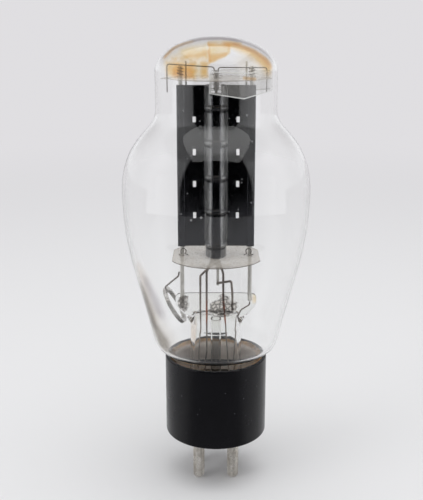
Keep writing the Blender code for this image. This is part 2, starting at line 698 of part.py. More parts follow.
def make_micas(materials):
    mica = materials["mica"]
    half = MICA_THICKNESS / 2
    lower = extruded("lower_mica", lower_mica_outline(), LOWER_MICA_Z - half, LOWER_MICA_Z + half, mica)
    holes = [(side * PLATE_ROD_X, 0.0, PLATE_ROD_R + GAP) for side in (-1, 1)]
    holes += [(0.0, side * GRID_ROD_Y, GRID_ROD_R + GAP) for side in (-1, 1)]
    holes += [(x, y, radius + GAP) for x, y, radius in lead_top_places().values()]
    cut_holes(lower, holes, LOWER_MICA_Z - THROUGH, LOWER_MICA_Z + THROUGH, mica)

    upper = extruded("upper_mica", upper_mica_outline(), UPPER_MICA_Z - half, UPPER_MICA_Z + half, mica)
    holes = []
    for side in (-1, 1):
        holes.append((side * PLATE_ROD_X, 0.0, PLATE_ROD_R + GAP))
        holes.append((side * TIE_ROD_X, TIE_ROD_Y, TIE_ROD_R + GAP))
    holes += [(x, y, HOOK_WIRE_R + GAP) for x, y in spring_legs().values()]
    cut_holes(upper, holes, UPPER_MICA_Z - THROUGH, UPPER_MICA_Z + THROUGH, mica)
    clear = GRID_WIRE_R + GAP
    window = arc((0, 0), (GRID_HALF_WIDTH + clear, GRID_HALF_DEPTH + clear), 0, 345, 23)
    cut(upper, extruded("grid_window", window, UPPER_MICA_Z - THROUGH, UPPER_MICA_Z + THROUGH, mica))
    for side, label in ((1, "front"), (-1, "rear")):
        cut(upper, bumper_sheet("bumper_slot_" + label, side, BUMPER_THICKNESS + 2 * GAP, 2 * GAP, mica))
    return [lower, upper]


def bumper_sheet(name, side, thickness, longer, material):
    """folded strip standing on edge: two panels that meet in a fold at the glass

    side 1 is the front strip, -1 its mirror image at the back; longer lengthens the inner end."""
    inner, fold, outer = [Vector((x, side * y, z)) for x, y, z in
                          (BUMPER_INNER_END, BUMPER_FOLD, BUMPER_OUTER_END)]
    inner += (inner - fold).normalized() * longer
    bm = bmesh.new()
    towards_fold = (fold - inner).normalized()
    corner = []
    for along, up in arc((BUMPER_CORNER_R, -BUMPER_CORNER_R), (BUMPER_CORNER_R, BUMPER_CORNER_R), 180, 90, 4):
        point = inner + towards_fold * along
        corner.append(bm.verts.new((point.x, point.y, BUMPER_TOP_Z + up)))
    low_inner = bm.verts.new(inner)
    low_fold = bm.verts.new(fold)
    low_outer = bm.verts.new(outer)
    top_fold = bm.verts.new((fold.x, fold.y, BUMPER_TOP_Z))
    top_outer = bm.verts.new((outer.x, outer.y, BUMPER_TOP_Z))
    bm.faces.new([low_inner, low_fold, top_fold] + corner[::-1])
    bm.faces.new([low_fold, low_outer, top_outer, top_fold])
    bmesh.ops.recalc_face_normals(bm, faces=bm.faces)
    strip = mesh_object(name, bm, material, smooth=False)
    solidify = strip.modifiers.new("thickness", "SOLIDIFY")
    solidify.thickness = thickness
    solidify.offset = 0.0
    solidify.use_even_offset = True
    return strip


def make_bumpers(materials):
    return [bumper_sheet("bumper_" + label, side, BUMPER_THICKNESS, 0.0, materials["bumper_mica"])
            for side, label in ((1, "front"), (-1, "rear"))]


def column_points(rise):
    """half of the column's outline, from its left corner round the front to its right corner"""
    half_width = COLUMN_HALF_WIDTH - SHEET / 2 + rise
    half_depth = COLUMN_HALF_DEPTH - SHEET / 2 + rise
    seam = (GAP + SHEET) / 2
    start = math.degrees(math.asin(seam / half_depth))
    points = []
    steps = COLUMN_STEPS
    for i in range(steps + 1):
        angle = math.radians(180 + start + (180 - 2 * start) * i / steps)
        c, s = math.cos(angle), math.sin(angle)
        x = half_width * math.copysign(abs(c) ** 0.85, c)
        points.append((x, half_depth * s))
    return points


def channel_points(x, seam):
    """half of the flat-faced channel that is pressed round a plate rod"""
    half = CHANNEL_HALF - SHEET / 2
    near = half - CHANNEL_CORNER
    return [(x - half, seam), (x - half, -near), (x - near, -half),
            (x + near, -half), (x + half, -near), (x + half, seam)]


def anode_row(z, rise):
    """points across one half of the plate at one height, left to right"""
    seam = -(GAP + SHEET) / 2
    left = channel_points(-PLATE_ROD_X, seam)
    right = channel_points(PLATE_ROD_X, seam)
    half_window = WINDOW_WIDTH / 2
    window_left = [(-WINDOW_X - half_window, seam), (-WINDOW_X + half_window, seam)]
    window_right = [(WINDOW_X - half_window, seam), (WINDOW_X + half_window, seam)]
    column = column_points(rise)
    row = left + window_left + column + window_right + right
    return [(x, y, z) for x, y in row]


def ring_rises():
    """height and outward rise of each row across the column's beads"""
    rows = []
    for i in range(COLUMN_RING_COUNT):
        centre = COLUMN_FIRST_RING_Z + i * COLUMN_RING_PITCH
        for share, rise in ((-0.5, 0.0), (0.0, 1.0), (0.5, 0.0)):
            rows.append((centre + share * COLUMN_RING_HEIGHT, rise * COLUMN_RING_RISE))
    return rows


def window_spans():
    half = WINDOW_HEIGHT / 2
    return [(WINDOW_FIRST_Z + i * WINDOW_PITCH - half, WINDOW_FIRST_Z + i * WINDOW_PITCH + half)
            for i in range(WINDOW_COUNT)]


def make_anode_half(name, side, material):
    """one stamped sheet: channels for the rods, flat wings with windows, half of the beaded column

    side 1 is the front half, -1 the rear."""
    spans = window_spans()
    notch_z = ANODE_TOP_Z - COLUMN_NOTCH_DEPTH
    rows = [(COLUMN_BOTTOM_Z, 0.0), (ANODE_WING_BOTTOM_Z, 0.0), (notch_z, 0.0), (ANODE_TOP_Z, 0.0)]
    rows += [(z, 0.0) for span in spans for z in span]
    rows += ring_rises()
    rows.sort()
    bm = bmesh.new()
    grid = [[bm.verts.new((x, side * y, z)) for x, y, z in anode_row(z, rise)] for z, rise in rows]
    columns = len(grid[0])
    column_start = 8
    column_end = columns - 9
    left_window = 6
    right_window = columns - 8
    tiny = 1e-6
    for lower, upper in zip(range(len(rows) - 1), range(1, len(rows))):
        z0, z1 = rows[lower][0], rows[upper][0]
        in_window = any(a - tiny < z0 and z1 < b + tiny for a, b in spans)
        for i in range(columns - 1):
            in_column = column_start <= i < column_end
            if z1 < ANODE_WING_BOTTOM_Z + tiny and not in_column:
                continue
            if in_window and i in (left_window, right_window):
                continue
            middle_x = (grid[lower][i].co.x + grid[lower][i + 1].co.x) / 2
            if in_column and z0 > notch_z - tiny and abs(middle_x) < COLUMN_NOTCH_HALF_WIDTH:
                continue
            bm.faces.new((grid[lower][i], grid[lower][i + 1], grid[upper][i + 1], grid[upper][i]))
    bmesh.ops.dissolve_limit(bm, angle_limit=math.radians(0.5), verts=bm.verts, edges=bm.edges)
    loose = [v for v in bm.verts if not v.link_faces]
    bmesh.ops.delete(bm, geom=loose, context="VERTS")
    half = mesh_object(name, bm, material)
    solidify = half.modifiers.new("sheet", "SOLIDIFY")
    solidify.thickness = SHEET
    solidify.offset = 0.0
    solidify.use_even_offset = True
    return half


def make_anode(materials):
    return [make_anode_half("anode_front", 1, materials["plate_black"]),
            make_anode_half("anode_rear", -1, materials["plate_black"])]


def make_rods(materials):
    nickel = materials["rod_nickel"]
    pieces = []
    for side, label, foot in ((-1, "left", LEFT_ROD_FOOT_Z), (1, "right", RIGHT_ROD_FOOT_Z)):
        pieces.append(rod("plate_rod_" + label, side * PLATE_ROD_X, 0.0, foot, PLATE_ROD_TOP_Z,
                          PLATE_ROD_R, nickel, 14))
        pieces.append(rod("tie_rod_" + label, side * TIE_ROD_X, TIE_ROD_Y,
                          ANODE_WING_BOTTOM_Z + TIE_ROD_FOOT_RISE, TIE_ROD_TOP_Z, TIE_ROD_R, nickel))
        pieces.append(make_rod_wrap("rod_wrap_" + label, side, materials["spring_wire"]))
        pieces.append(make_rod_clip("rod_clip_" + label, side, materials["spring_wire"]))
    return pieces


def make_rod_wrap(name, side, material):
    """turns of wire round a plate rod that rest on the upper mica and lock it"""
    radius = PLATE_ROD_R + WRAP_CLEARANCE + WRAP_WIRE_R
    bottom = UPPER_MICA_TOP_Z + GAP + WRAP_WIRE_R
    route = []
    for i in range(WRAP_TURNS * WRAP_POINTS_PER_TURN + 1):
        angle = math.tau * i / WRAP_POINTS_PER_TURN
        route.append((side * (PLATE_ROD_X + radius * math.cos(angle)), radius * math.sin(angle),
                      bottom + WRAP_PITCH * i / WRAP_POINTS_PER_TURN))
    return wire(name, route, WRAP_WIRE_R, material, FINE_WIRE_RESOLUTION)


def make_rod_clip(name, side, material):
    """wire bent to a ring with two spread feet that stand on the lower mica"""
    floor = LOWER_MICA_TOP_Z + GAP + CLIP_WIRE_R
    x = side * (PLATE_ROD_X - CLIP_INSET)
    ring_z = floor + CLIP_RING_R + CLIP_RING_LIFT
    ring = arc((x, ring_z), (CLIP_RING_R, CLIP_RING_R), -60, 240, 10)
    route = [(x + CLIP_FOOT_SPREAD, floor)] + ring + [(x - CLIP_FOOT_SPREAD, floor)]
    return wire(name, [(px, CLIP_Y, pz) for px, pz in route], CLIP_WIRE_R, material)


def make_grid(materials):
    metal = materials["grid_wire"]
    pieces = [rod("grid_rod_front", 0.0, -GRID_ROD_Y, GRID_ROD_FOOT_Z, GRID_ROD_TOP_Z, GRID_ROD_R, metal, 8),
              rod("grid_rod_rear", 0.0, GRID_ROD_Y, GRID_ROD_FOOT_Z, GRID_ROD_TOP_Z, GRID_ROD_R, metal, 8)]
    count = GRID_TURNS * GRID_POINTS_PER_TURN
    path = []
    for i in range(count + 1):
        angle = math.tau * i / GRID_POINTS_PER_TURN
        z = GRID_BOTTOM_Z + (GRID_TOP_Z - GRID_BOTTOM_Z) * i / count
        path.append((GRID_HALF_WIDTH * math.cos(angle), GRID_HALF_DEPTH * math.sin(angle), z))
    pieces.append(wire("grid_winding", path, GRID_WIRE_R, metal, FINE_WIRE_RESOLUTION))
    return pieces


def make_filament(materials):
    """wire in the form of an M: up, over a hook, down to the centre hook, and the same again"""
    hook_y = FILAMENT_HOOK_Y
    bend = FILAMENT_BEND_R
    path = [(0.0, -hook_y - bend, FILAMENT_BOTTOM_Z - FILAMENT_TAIL)]
    path += [(0.0, y, z) for y, z in arc((-hook_y, FILAMENT_TOP_Z), (bend, bend), 180, 0, 6)]
    inner = hook_y - bend
    path += [(0.0, y, z) for y, z in arc((0.0, FILAMENT_BOTTOM_Z + inner), (inner, inner), 180, 360, 6)]
    path += [(0.0, y, z) for y, z in arc((hook_y, FILAMENT_TOP_Z), (bend, bend), 180, 0, 6)]
    path.append((0.0, hook_y + bend, FILAMENT_BOTTOM_Z - FILAMENT_TAIL))
    return wire("filament", path, FILAMENT_R, materials["filament_oxide"],
                FINE_WIRE_RESOLUTION)


def make_springs(materials):
    """bent wires: outer leg through the mica, long arm inwards, inner leg down to a hook"""
    pieces = []
    hook_z = FILAMENT_TOP_Z + FILAMENT_BEND_R - FILAMENT_R - GAP - HOOK_WIRE_R
    sides = ((-1, "left", SPRING_LEFT_RISE, SPRING_LEFT_DROOP),
             (1, "right", SPRING_RIGHT_RISE, SPRING_RIGHT_DROOP))
    for side, label, rise, droop in sides:
        leg_x, y = spring_legs()[label]
        arm_z = UPPER_MICA_TOP_Z + rise
        corners = [
            (leg_x, y, SPRING_LEG_FOOT_Z),
            (leg_x, y, arm_z),
            (side * HOOK_BEND_R, y, arm_z - droop),
            (side * HOOK_BEND_R, y, hook_z + HOOK_BEND_R),
        ]
        path = rounded_path(corners, SPRING_CORNER_R)
        hook = arc((0.0, hook_z + HOOK_BEND_R), (side * HOOK_BEND_R, HOOK_BEND_R), 0, -200, 7)
        path += [(x, y, z) for x, z in hook[1:]]
        pieces.append(wire("filament_spring_" + label, path, HOOK_WIRE_R, materials["spring_wire"]))
    return pieces


def strap_front_y():
    """front face of the flat strap that lies before the centre hook"""
    return -(HOOK_WIRE_R + GAP + STRAP_THICKNESS)


def make_centre_support(materials):
    """hook over the filament's middle bend, flat strap below the mica and the post that carries it"""
    metal = materials["spring_wire"]
    arch_z = FILAMENT_BOTTOM_Z + FILAMENT_R + GAP + HOOK_WIRE_R - HOOK_BEND_R
    hook = arc((0.0, arch_z), (HOOK_BEND_R, HOOK_BEND_R), 0, 200, 7)
    strap_top = LOWER_MICA_Z - MICA_THICKNESS / 2 - GAP
    path = [(HOOK_BEND_R, 0.0, strap_top - CENTRE_HOOK_TAIL)] + [(x, 0.0, z) for x, z in hook]
    pieces = [wire("centre_hook", path, HOOK_WIRE_R, metal)]

    far = strap_front_y()
    near = far + STRAP_THICKNESS
    left = HOOK_BEND_R - STRAP_WIDTH / 2
    outline = [(left, far), (left + STRAP_WIDTH, far), (left + STRAP_WIDTH, near), (left, near)]
    pieces.append(extruded("centre_strap", outline, STRAP_FOOT_Z, strap_top, materials["rod_nickel"]))
    return pieces


def lead_routes():
    """route and radius of each wire that enters the press, from its top end down"""
    tops = lead_top_places()
    pins = {name: (x, y) for name, x, y, _ in pin_places()}
    above = FILAMENT_BOTTOM_Z
    below_mica = LOWER_MICA_Z - BELOW_MICA
    pin_mouth = pin_head_z() + PIN_HEAD_HEIGHT + PIN_ENTRY_RISE
    pin_end = PIN_SOLDER_DEPTH + GAP
    hollow_z = STEM_NECK_Z

    def into_pin(pin):
        x, y = pins[pin]
        return [(x, y, pin_mouth), (x, y, pin_end)]

    left_x, left_y, _ = tops["filament_lead_left"]
    right_x, right_y, _ = tops["filament_lead_right"]
    grid_x = -(GRID_ROD_R + LEAD_R + GAP)
    grid_top = LOWER_MICA_Z - MICA_THICKNESS / 2 - GAP
    right_low_x = RIGHT_LEAD_X + RIGHT_LEAD_SPLAY
    post_y = strap_front_y() - GAP - LEAD_R
    post_x = CENTRE_SUPPORT_X + CENTRE_SUPPORT_LEAN
    plate_bends = [(x, 0.0, z) for x, z in PLATE_LEAD_BENDS]
    routes = {
        "filament_lead_left": [
            (left_x, left_y, above), (left_x, left_y, below_mica),
            (LEFT_LEAD_X, 0.0, LEFT_LEAD_BEND_Z), (LEFT_LEAD_X, 0.0, hollow_z),
            (LEFT_LEAD_X - LEAD_SPREAD, 0.0, LEAD_SPREAD_Z)]
        + into_pin("filament_pin_left"),
        "filament_lead_right": [
            (right_x, right_y, above), (right_x, right_y, below_mica),
            (RIGHT_LEAD_X, 0.0, RIGHT_LEAD_BEND_Z), (RIGHT_LEAD_X, 0.0, PRESS_TOP_Z - BELOW_MICA),
            (right_low_x, 0.0, hollow_z), (right_low_x + LEAD_SPREAD, -LEAD_SPREAD, LEAD_SPREAD_Z)]
        + into_pin("filament_pin_right"),
        "grid_lead": [
            (grid_x, GRID_ROD_Y, grid_top), (grid_x, GRID_ROD_Y, grid_top - GRID_LEAD_DROP),
            (GRID_LEAD_X, 0.0, GRID_LEAD_BEND_Z), (GRID_LEAD_X, 0.0, LEAD_SPREAD_Z)]
        + into_pin("grid_pin"),
        "plate_lead": [(PLATE_ROD_X, 0.0, RIGHT_ROD_FOOT_Z - GAP)] + plate_bends + [
            (PLATE_LEAD_X, 0.0, hollow_z), (PLATE_LEAD_X - LEAD_SPREAD, 0.0, LEAD_SPREAD_Z)]
        + into_pin("plate_pin"),
        "centre_support": [
            (HOOK_BEND_R - LEAD_R, post_y, STRAP_FOOT_Z + CENTRE_SUPPORT_WELD_RISE),
            (CENTRE_SUPPORT_X, post_y, CENTRE_SUPPORT_TOP_Z),
            (post_x, -LEAD_R, PRESS_TOP_Z), (post_x, 0.0, CENTRE_SUPPORT_FOOT_Z)],
    }
    radii = {"plate_lead": LOWER_LEAD_R}
    bends = {"centre_support": CENTRE_SUPPORT_BEND_R}
    return {name: (rounded_path(corners, bends.get(name, BEND_R)), radii.get(name, LEAD_R))
            for name, corners in routes.items()}


def make_leads(materials, routes):
    pieces = []
    for name, (path, radius) in routes.items():
        thin_below = PRESS_BOTTOM_Z if name != "centre_support" else None
        pieces.append(wire(name, path, radius, materials["lead_wire"], WIRE_RESOLUTION,
                           thin_below, LOWER_LEAD_R))
    return pieces


def crossing(upper, lower, z):
    """point where a falling run of wire passes a height"""
    share = (upper.z - z) / (upper.z - lower.z)
    return upper.lerp(lower, share)


def bore_routes(routes):
    """the stretch of each lead that the press and the neck's wall have to clear"""
    high = PRESS_TOP_Z + THROUGH
    low = HOLLOW_TOP_Z - HOLLOW_CLEAR_DEPTH
    bores = {}
    for name, (path, radius) in routes.items():
        stretch = []
        for before, after in zip(path, path[1:]):
            if before.z > high > after.z:
                stretch.append(crossing(before, after, high))
            if low < before.z <= high:
                stretch.append(before)
            if before.z > low > after.z:
                stretch.append(crossing(before, after, low))
        if path[-1].z > low:
            stretch.append(path[-1] - Vector((0, 0, GAP)))
        bores[name] = (stretch, radius)
    return bores


def getter_direction():
    """unit vector that the getter's open side faces"""
    outward = math.sin(GETTER_FACE_DOWN)
    return Vector((outward * math.cos(GETTER_FACE_AZIMUTH), outward * math.sin(GETTER_FACE_AZIMUTH),
                   -math.cos(GETTER_FACE_DOWN)))


def make_getter(materials):
    """ring of U-shaped channel whose open side faces the glass, on a wire from the left rod"""
    half = GETTER_CHANNEL / 2
    t = GETTER_SHEET
    inner, outer = GETTER_R - half, GETTER_R + half
    profile = [(inner, 0.0), (outer, 0.0), (outer, GETTER_CHANNEL), (outer - t, GETTER_CHANNEL),
               (outer - t, t), (inner + t, t), (inner + t, GETTER_CHANNEL), (inner, GETTER_CHANNEL)]
    ring = mesh_object("getter_ring", turned(profile, RING_SEGMENTS), materials["getter_steel"])
    direction = getter_direction()
    centre = Vector(GETTER_CENTRE)
    ring.rotation_euler = direction.to_track_quat("Z", "Y").to_euler()
    ring.location = centre

    rod_point = Vector((-PLATE_ROD_X - PLATE_ROD_R - GETTER_ARM_R - GAP, 0.0, GETTER_ARM_Z))
    in_plane = rod_point - centre
    in_plane -= direction * in_plane.dot(direction)
    lift = GETTER_ARM_R + GAP
    outward = in_plane.normalized()
    bend = centre + outward * (outer + GETTER_ARM_END) - direction * lift
    end = centre + outward * inner - direction * lift
    route = rounded_path([rod_point + Vector((0, 0, GETTER_ARM_TOP)), rod_point, bend, end],
                         GETTER_ARM_END)
    arm = wire("getter_arm", route, GETTER_ARM_R, materials["spring_wire"])
    return [ring, arm]


def build():
    clear_scene()
    materials = make_materials()
    routes = lead_routes()
    make_bulb(materials)
    make_stem(materials, bore_routes(routes))
    make_exhaust_tube(materials)
    make_base(materials)
    make_cement(materials)
    make_pins(materials)
    make_bayonet_pin(materials)
    make_micas(materials)
    make_bumpers(materials)
    make_anode(materials)
    make_rods(materials)
    make_grid(materials)
    make_filament(materials)
    make_springs(materials)
    make_centre_support(materials)
    make_leads(materials, routes)
    make_getter(materials)


build()
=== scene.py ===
import math

import bmesh
import bpy
from mathutils import Matrix, Vector


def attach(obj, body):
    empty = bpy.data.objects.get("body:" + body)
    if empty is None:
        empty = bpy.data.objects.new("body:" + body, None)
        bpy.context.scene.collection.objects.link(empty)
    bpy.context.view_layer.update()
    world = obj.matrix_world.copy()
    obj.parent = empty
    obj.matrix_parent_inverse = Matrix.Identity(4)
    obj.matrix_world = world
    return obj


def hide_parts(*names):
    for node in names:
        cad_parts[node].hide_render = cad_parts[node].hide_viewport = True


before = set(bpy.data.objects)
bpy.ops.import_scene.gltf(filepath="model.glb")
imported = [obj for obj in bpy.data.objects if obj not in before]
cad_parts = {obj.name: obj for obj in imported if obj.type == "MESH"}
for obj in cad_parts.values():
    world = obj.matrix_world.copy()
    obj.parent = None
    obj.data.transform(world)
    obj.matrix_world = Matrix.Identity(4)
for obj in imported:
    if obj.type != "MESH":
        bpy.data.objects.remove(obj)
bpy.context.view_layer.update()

MM = 0.001

# sizes of the tube; the stem's slope and the hollow's roof are a little off the plain solid's
PIN_LENGTH = 16.6 * MM
THICK_PIN_R = 1.98 * MM
THIN_PIN_R = 1.59 * MM
PIN_HALF_SPACING_X = 5.945 * MM
PIN_HALF_SPACING_Y = 5.55 * MM
BASE_RIM_Z = 44.7 * MM
BASE_FLOOR_Z = 18.8 * MM
BASE_R = 17.45 * MM
BASE_INNER_R = 16.35 * MM
CEMENT_TOP_Z = 44.2 * MM
CEMENT_BOTTOM_Z = 35.2 * MM

TUBE_HEIGHT = 151.4 * MM
BULB_WALL = 1.0 * MM
DOME_R = 19.6 * MM
DOME_CROWN = 10.8 * MM
DOME_SIDE = 12.0 * MM
SHOULDER_R = 24.0 * MM
SHOULDER_DROP = 7.7 * MM
BELLY_R = 30.95 * MM
BELLY_Z = 101.5 * MM
CONE_R = 21.9 * MM
CONE_Z = 53.4 * MM
NECK_R = 14.8 * MM
NECK_TOP_Z = 42.6 * MM
NECK_SEAL_Z = 31.0 * MM

PRESS_HALF_WIDTH = 13.8 * MM
PRESS_HALF_DEPTH = 2.2 * MM
PRESS_TOP_Z = 66.6 * MM
PRESS_BOTTOM_Z = 61.0 * MM
STEM_NECK_R = 8.7 * MM
STEM_NECK_Z = 54.5 * MM
STEM_WALL = 1.2 * MM
FLARE_START_Z = 45.0 * MM
FLARE_GAP = 2.0 * MM
LIP_Z = NECK_SEAL_Z - 0.3 * MM
LIP_THICKNESS = 1.0 * MM
EARS_BOTTOM_Z = 63.5 * MM
EARS_GONE_Z = 55.5 * MM
HOLLOW_TOP_Z = 59.8 * MM
HOLLOW_ROOF_RISE = 1.2 * MM
PINCH_TOP_Z = 60.9 * MM
TUBE_TIP_Z = 24.0 * MM
TUBE_TOP_Z = HOLLOW_TOP_Z - 2.6 * MM

MICA_THICKNESS = 0.3 * MM
LOWER_MICA_Z = 79.8 * MM
LOWER_MICA_R = 16.0 * MM
LOWER_MICA_HALF_WIDTH = 14.5 * MM
UPPER_MICA_Z = 138.3 * MM
UPPER_MICA_R = 15.3 * MM
LOWER_MICA_TOP_Z = LOWER_MICA_Z + MICA_THICKNESS / 2
LOWER_MICA_BOTTOM_Z = LOWER_MICA_Z - MICA_THICKNESS / 2
UPPER_MICA_TOP_Z = UPPER_MICA_Z + MICA_THICKNESS / 2
UPPER_MICA_BOTTOM_Z = UPPER_MICA_Z - MICA_THICKNESS / 2
TAB_X = 17.8 * MM
TAB_HALF_WIDTH = 1.2 * MM
TAB_ROOT_HALF_WIDTH = 3.6 * MM
ROD_CLEARANCE = 0.1 * MM
SPRING_HOLE_R = 0.35 * MM
BUMPER_TOP_Z = 140.8 * MM
BUMPER_THICKNESS = 0.2 * MM
BUMPER_CORNER_R = 2.0 * MM
BUMPER_INNER = Vector((-2.1, -6.6, 133.9)) * MM
BUMPER_FOLD = Vector((8.1, -16.2, 133.0)) * MM
BUMPER_OUTER = Vector((17.8, -2.4, 134.6)) * MM

SHEET = 0.3 * MM
SEAM = 0.3 * MM
ANODE_WING_BOTTOM_Z = 83.3 * MM
ANODE_TOP_Z = 136.2 * MM
COLUMN_BOTTOM_Z = 80.25 * MM
COLUMN_HALF_WIDTH = 3.45 * MM
COLUMN_HALF_DEPTH = 5.2 * MM
COLUMN_FOOT = 0.9 * MM
BESIDE_COLUMN = 17
NOTCH_HALF_WIDTH = 1.7 * MM
NOTCH_HEIGHT = 3.0 * MM
RING_RISE = 0.75 * MM
RING_HEIGHT = 1.9 * MM
RING_PITCH = 11.2 * MM
FIRST_RING_Z = 84.5 * MM
RING_COUNT = 5
WINDOW_HALF_WIDTH = 0.525 * MM
WINDOW_HALF_HEIGHT = 1.075 * MM
WINDOW_X = 7.1 * MM
WINDOW_FIRST_Z = 93.65 * MM
WINDOW_PITCH = 10.5 * MM
WINDOW_COUNT = 4
CHANNEL_HALF = 1.3 * MM
CHANNEL_CORNER_R = 0.35 * MM
PLATE_ROD_R = 0.7 * MM
PLATE_ROD_X = 11.45 * MM
PLATE_ROD_TOP_Z = 142.4 * MM
TIE_ROD_R = 0.35 * MM
TIE_ROD_X = 9.75 * MM
TIE_ROD_Y = 1.95 * MM
TIE_ROD_TOP_Z = 144.0 * MM
ROD_FEET_Z = {"left": 61.5 * MM, "right": 64.0 * MM}
WRAP_WIRE_R = 0.15 * MM
WRAP_PITCH = 1.0 * MM
CLIP_WIRE_R = 0.2 * MM
CLIP_RING_R = 0.9 * MM

GRID_ROD_R = 0.4 * MM
GRID_ROD_Y = 3.3 * MM
GRID_ROD_BOTTOM_Z = 77.3 * MM
GRID_ROD_TOP_Z = 140.7 * MM
GRID_WIRE_R = 0.09 * MM
GRID_HALF_WIDTH = 1.95 * MM
GRID_HALF_DEPTH = 4.3 * MM
FILAMENT_R = 0.12 * MM
FILAMENT_BEND_R = 0.75 * MM
FILAMENT_TOP_Z = 134.4 * MM
FILAMENT_BOTTOM_Z = 82.6 * MM
HOOK_Y = 1.5 * MM
HOOK_R = 0.64 * MM
HOOK_WIRE_R = 0.22 * MM
SPRING_WIRE_R = 0.19 * MM
SPRING_LEG_X = {"left": -15.6 * MM, "right": 16.4 * MM}
STRAND_X = 0.82 * MM
STRAND_Y = 2.25 * MM
LEAD_R = 0.4 * MM
THIN_LEAD_R = 0.25 * MM
GETTER_CENTRE = Vector((-13.75, 2.5, 61.85)) * MM
GETTER_R = 6.25 * MM
GETTER_TILT = 59.0
GETTER_TURN = 179.0


def finished(name, data, material, nodes):
    """put a piece into the model in place of its plain solids"""
    data.materials.clear()
    data.materials.append(material)
    piece = bpy.data.objects.new(name, data)
    bpy.context.scene.collection.objects.link(piece)
    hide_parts(*nodes)
    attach(piece, "root")
    return piece


def mesh_from(name, bm, sharp=35.0):
    """mesh with its faces outward, smooth except at edges sharper than the angle"""
    bmesh.ops.recalc_face_normals(bm, faces=bm.faces)
    if bm.calc_volume(signed=True) < 0:
        bmesh.ops.reverse_faces(bm, faces=bm.faces)
    mesh = bpy.data.meshes.new(name)
    bm.to_mesh(mesh)
    bm.free()
    mesh.shade_smooth()
    mesh.set_sharp_from_angle(angle=math.radians(sharp))
    return mesh


def turned(profile, segments):
    """closed outline of (radius, height) points turned about Z"""
    bm = bmesh.new()
    rings = []
    for radius, z in profile:
        if radius < 1e-7:
            rings.append([bm.verts.new((0.0, 0.0, z))])
        else:
            rings.append([bm.verts.new((radius * math.cos(math.tau * i / segments),
                                        radius * math.sin(math.tau * i / segments), z))
                          for i in range(segments)])
    for one, two in zip(rings, rings[1:] + rings[:1]):
        if len(one) == 1 and len(two) == 1:
            continue
        for i in range(segments):
            j = (i + 1) % segments
            corners = [one[i % len(one)], one[j % len(one)], two[j % len(two)], two[i % len(two)]]
            bm.faces.new(list(dict.fromkeys(corners)))
    return bm


def arc(centre, radii, start, end, steps):
    """points along an ellipse, between two angles in degrees"""
    points = []
    for i in range(steps + 1):
        angle = math.radians(start + (end - start) * i / steps)
        points.append((centre[0] + radii[0] * math.cos(angle), centre[1] + radii[1] * math.sin(angle)))
    return points


def ease(start, start_direction, end, end_direction, steps, pull=0.38):
    """cubic curve that leaves and arrives along the given directions"""
    p0, p3 = Vector(start), Vector(end)
    reach = (p3 - p0).length * pull
    p1 = p0 + Vector(start_direction).normalized() * reach
    p2 = p3 - Vector(end_direction).normalized() * reach
    points = []
    for i in range(1, steps + 1):
        t = i / steps
        s = 1.0 - t
        points.append(tuple(p0 * s ** 3 + p1 * (3 * s * s * t) + p2 * (3 * s * t * t) + p3 * t ** 3))
    return points


def offset_inward(points, distance):
    """an outline that runs downward, moved toward the axis"""
    moved = []
    last = len(points) - 1
    for i, point in enumerate(points):
        along = (Vector(points[min(i + 1, last)]) - Vector(points[max(i - 1, 0)])).normalized()
        moved.append(tuple(Vector(point) + Vector((along.y, -along.x)) * distance))
    return moved


def rounded_path(corners, radius, steps=7):
    """route with its corners bent to a radius"""
    corners = [Vector(c) for c in corners]
    path = [corners[0]]
    for before, corner, after in zip(corners, corners[1:], corners[2:]):
        inward = (before - corner).normalized()
        outward = (after - corner).normalized()
        turn = math.pi - inward.angle(outward)
        reach = min(radius * math.tan(turn / 2), (before - corner).length * 0.45,
                    (after - corner).length * 0.45)
        start = corner + inward * reach
        end = corner + outward * reach
        for i in range(steps + 1):
            t = i / steps
            path.append(start * (1 - t) ** 2 + corner * (2 * t * (1 - t)) + end * t ** 2)
    path.append(corners[-1])
    return path


def wire(name, path, radius, thin_below=None, thin_radius=None, resolution=3):
    """curve data of a round wire along a route"""
    curve = bpy.data.curves.new(name, "CURVE")
    curve.dimensions = "3D"
    curve.bevel_depth = radius
    curve.bevel_resolution = resolution
    curve.use_fill_caps = True
    spline = curve.splines.new("POLY")
    spline.points.add(len(path) - 1)
    spline.use_smooth = True
    for point, position in zip(spline.points, path):
        point.co = (*position, 1.0)
        if thin_below is not None and position[2] < thin_below:
            point.radius = thin_radius / radius
    return curve


def spiral(centre, radii, bottom, climb, turns, per_turn):
    """route that climbs round an axis; climb is the rise of one turn"""
    path = []
    for i in range(turns * per_turn + 1):
        angle = math.tau * i / per_turn
        path.append((centre[0] + radii[0] * math.cos(angle), centre[1] + radii[1] * math.sin(angle),
                     bottom + climb * i / per_turn))
    return path


def rod(x, y, bottom, top, radius, segments=28):
    """round rod with slightly broken ends"""
    edge = radius * 0.3
    bm = turned([(0.0, bottom), (radius - edge, bottom), (radius, bottom + edge),
                 (radius, top - edge), (radius - edge, top), (0.0, top)], segments)
    bmesh.ops.translate(bm, verts=bm.verts, vec=(x, y, 0.0))
    return bm


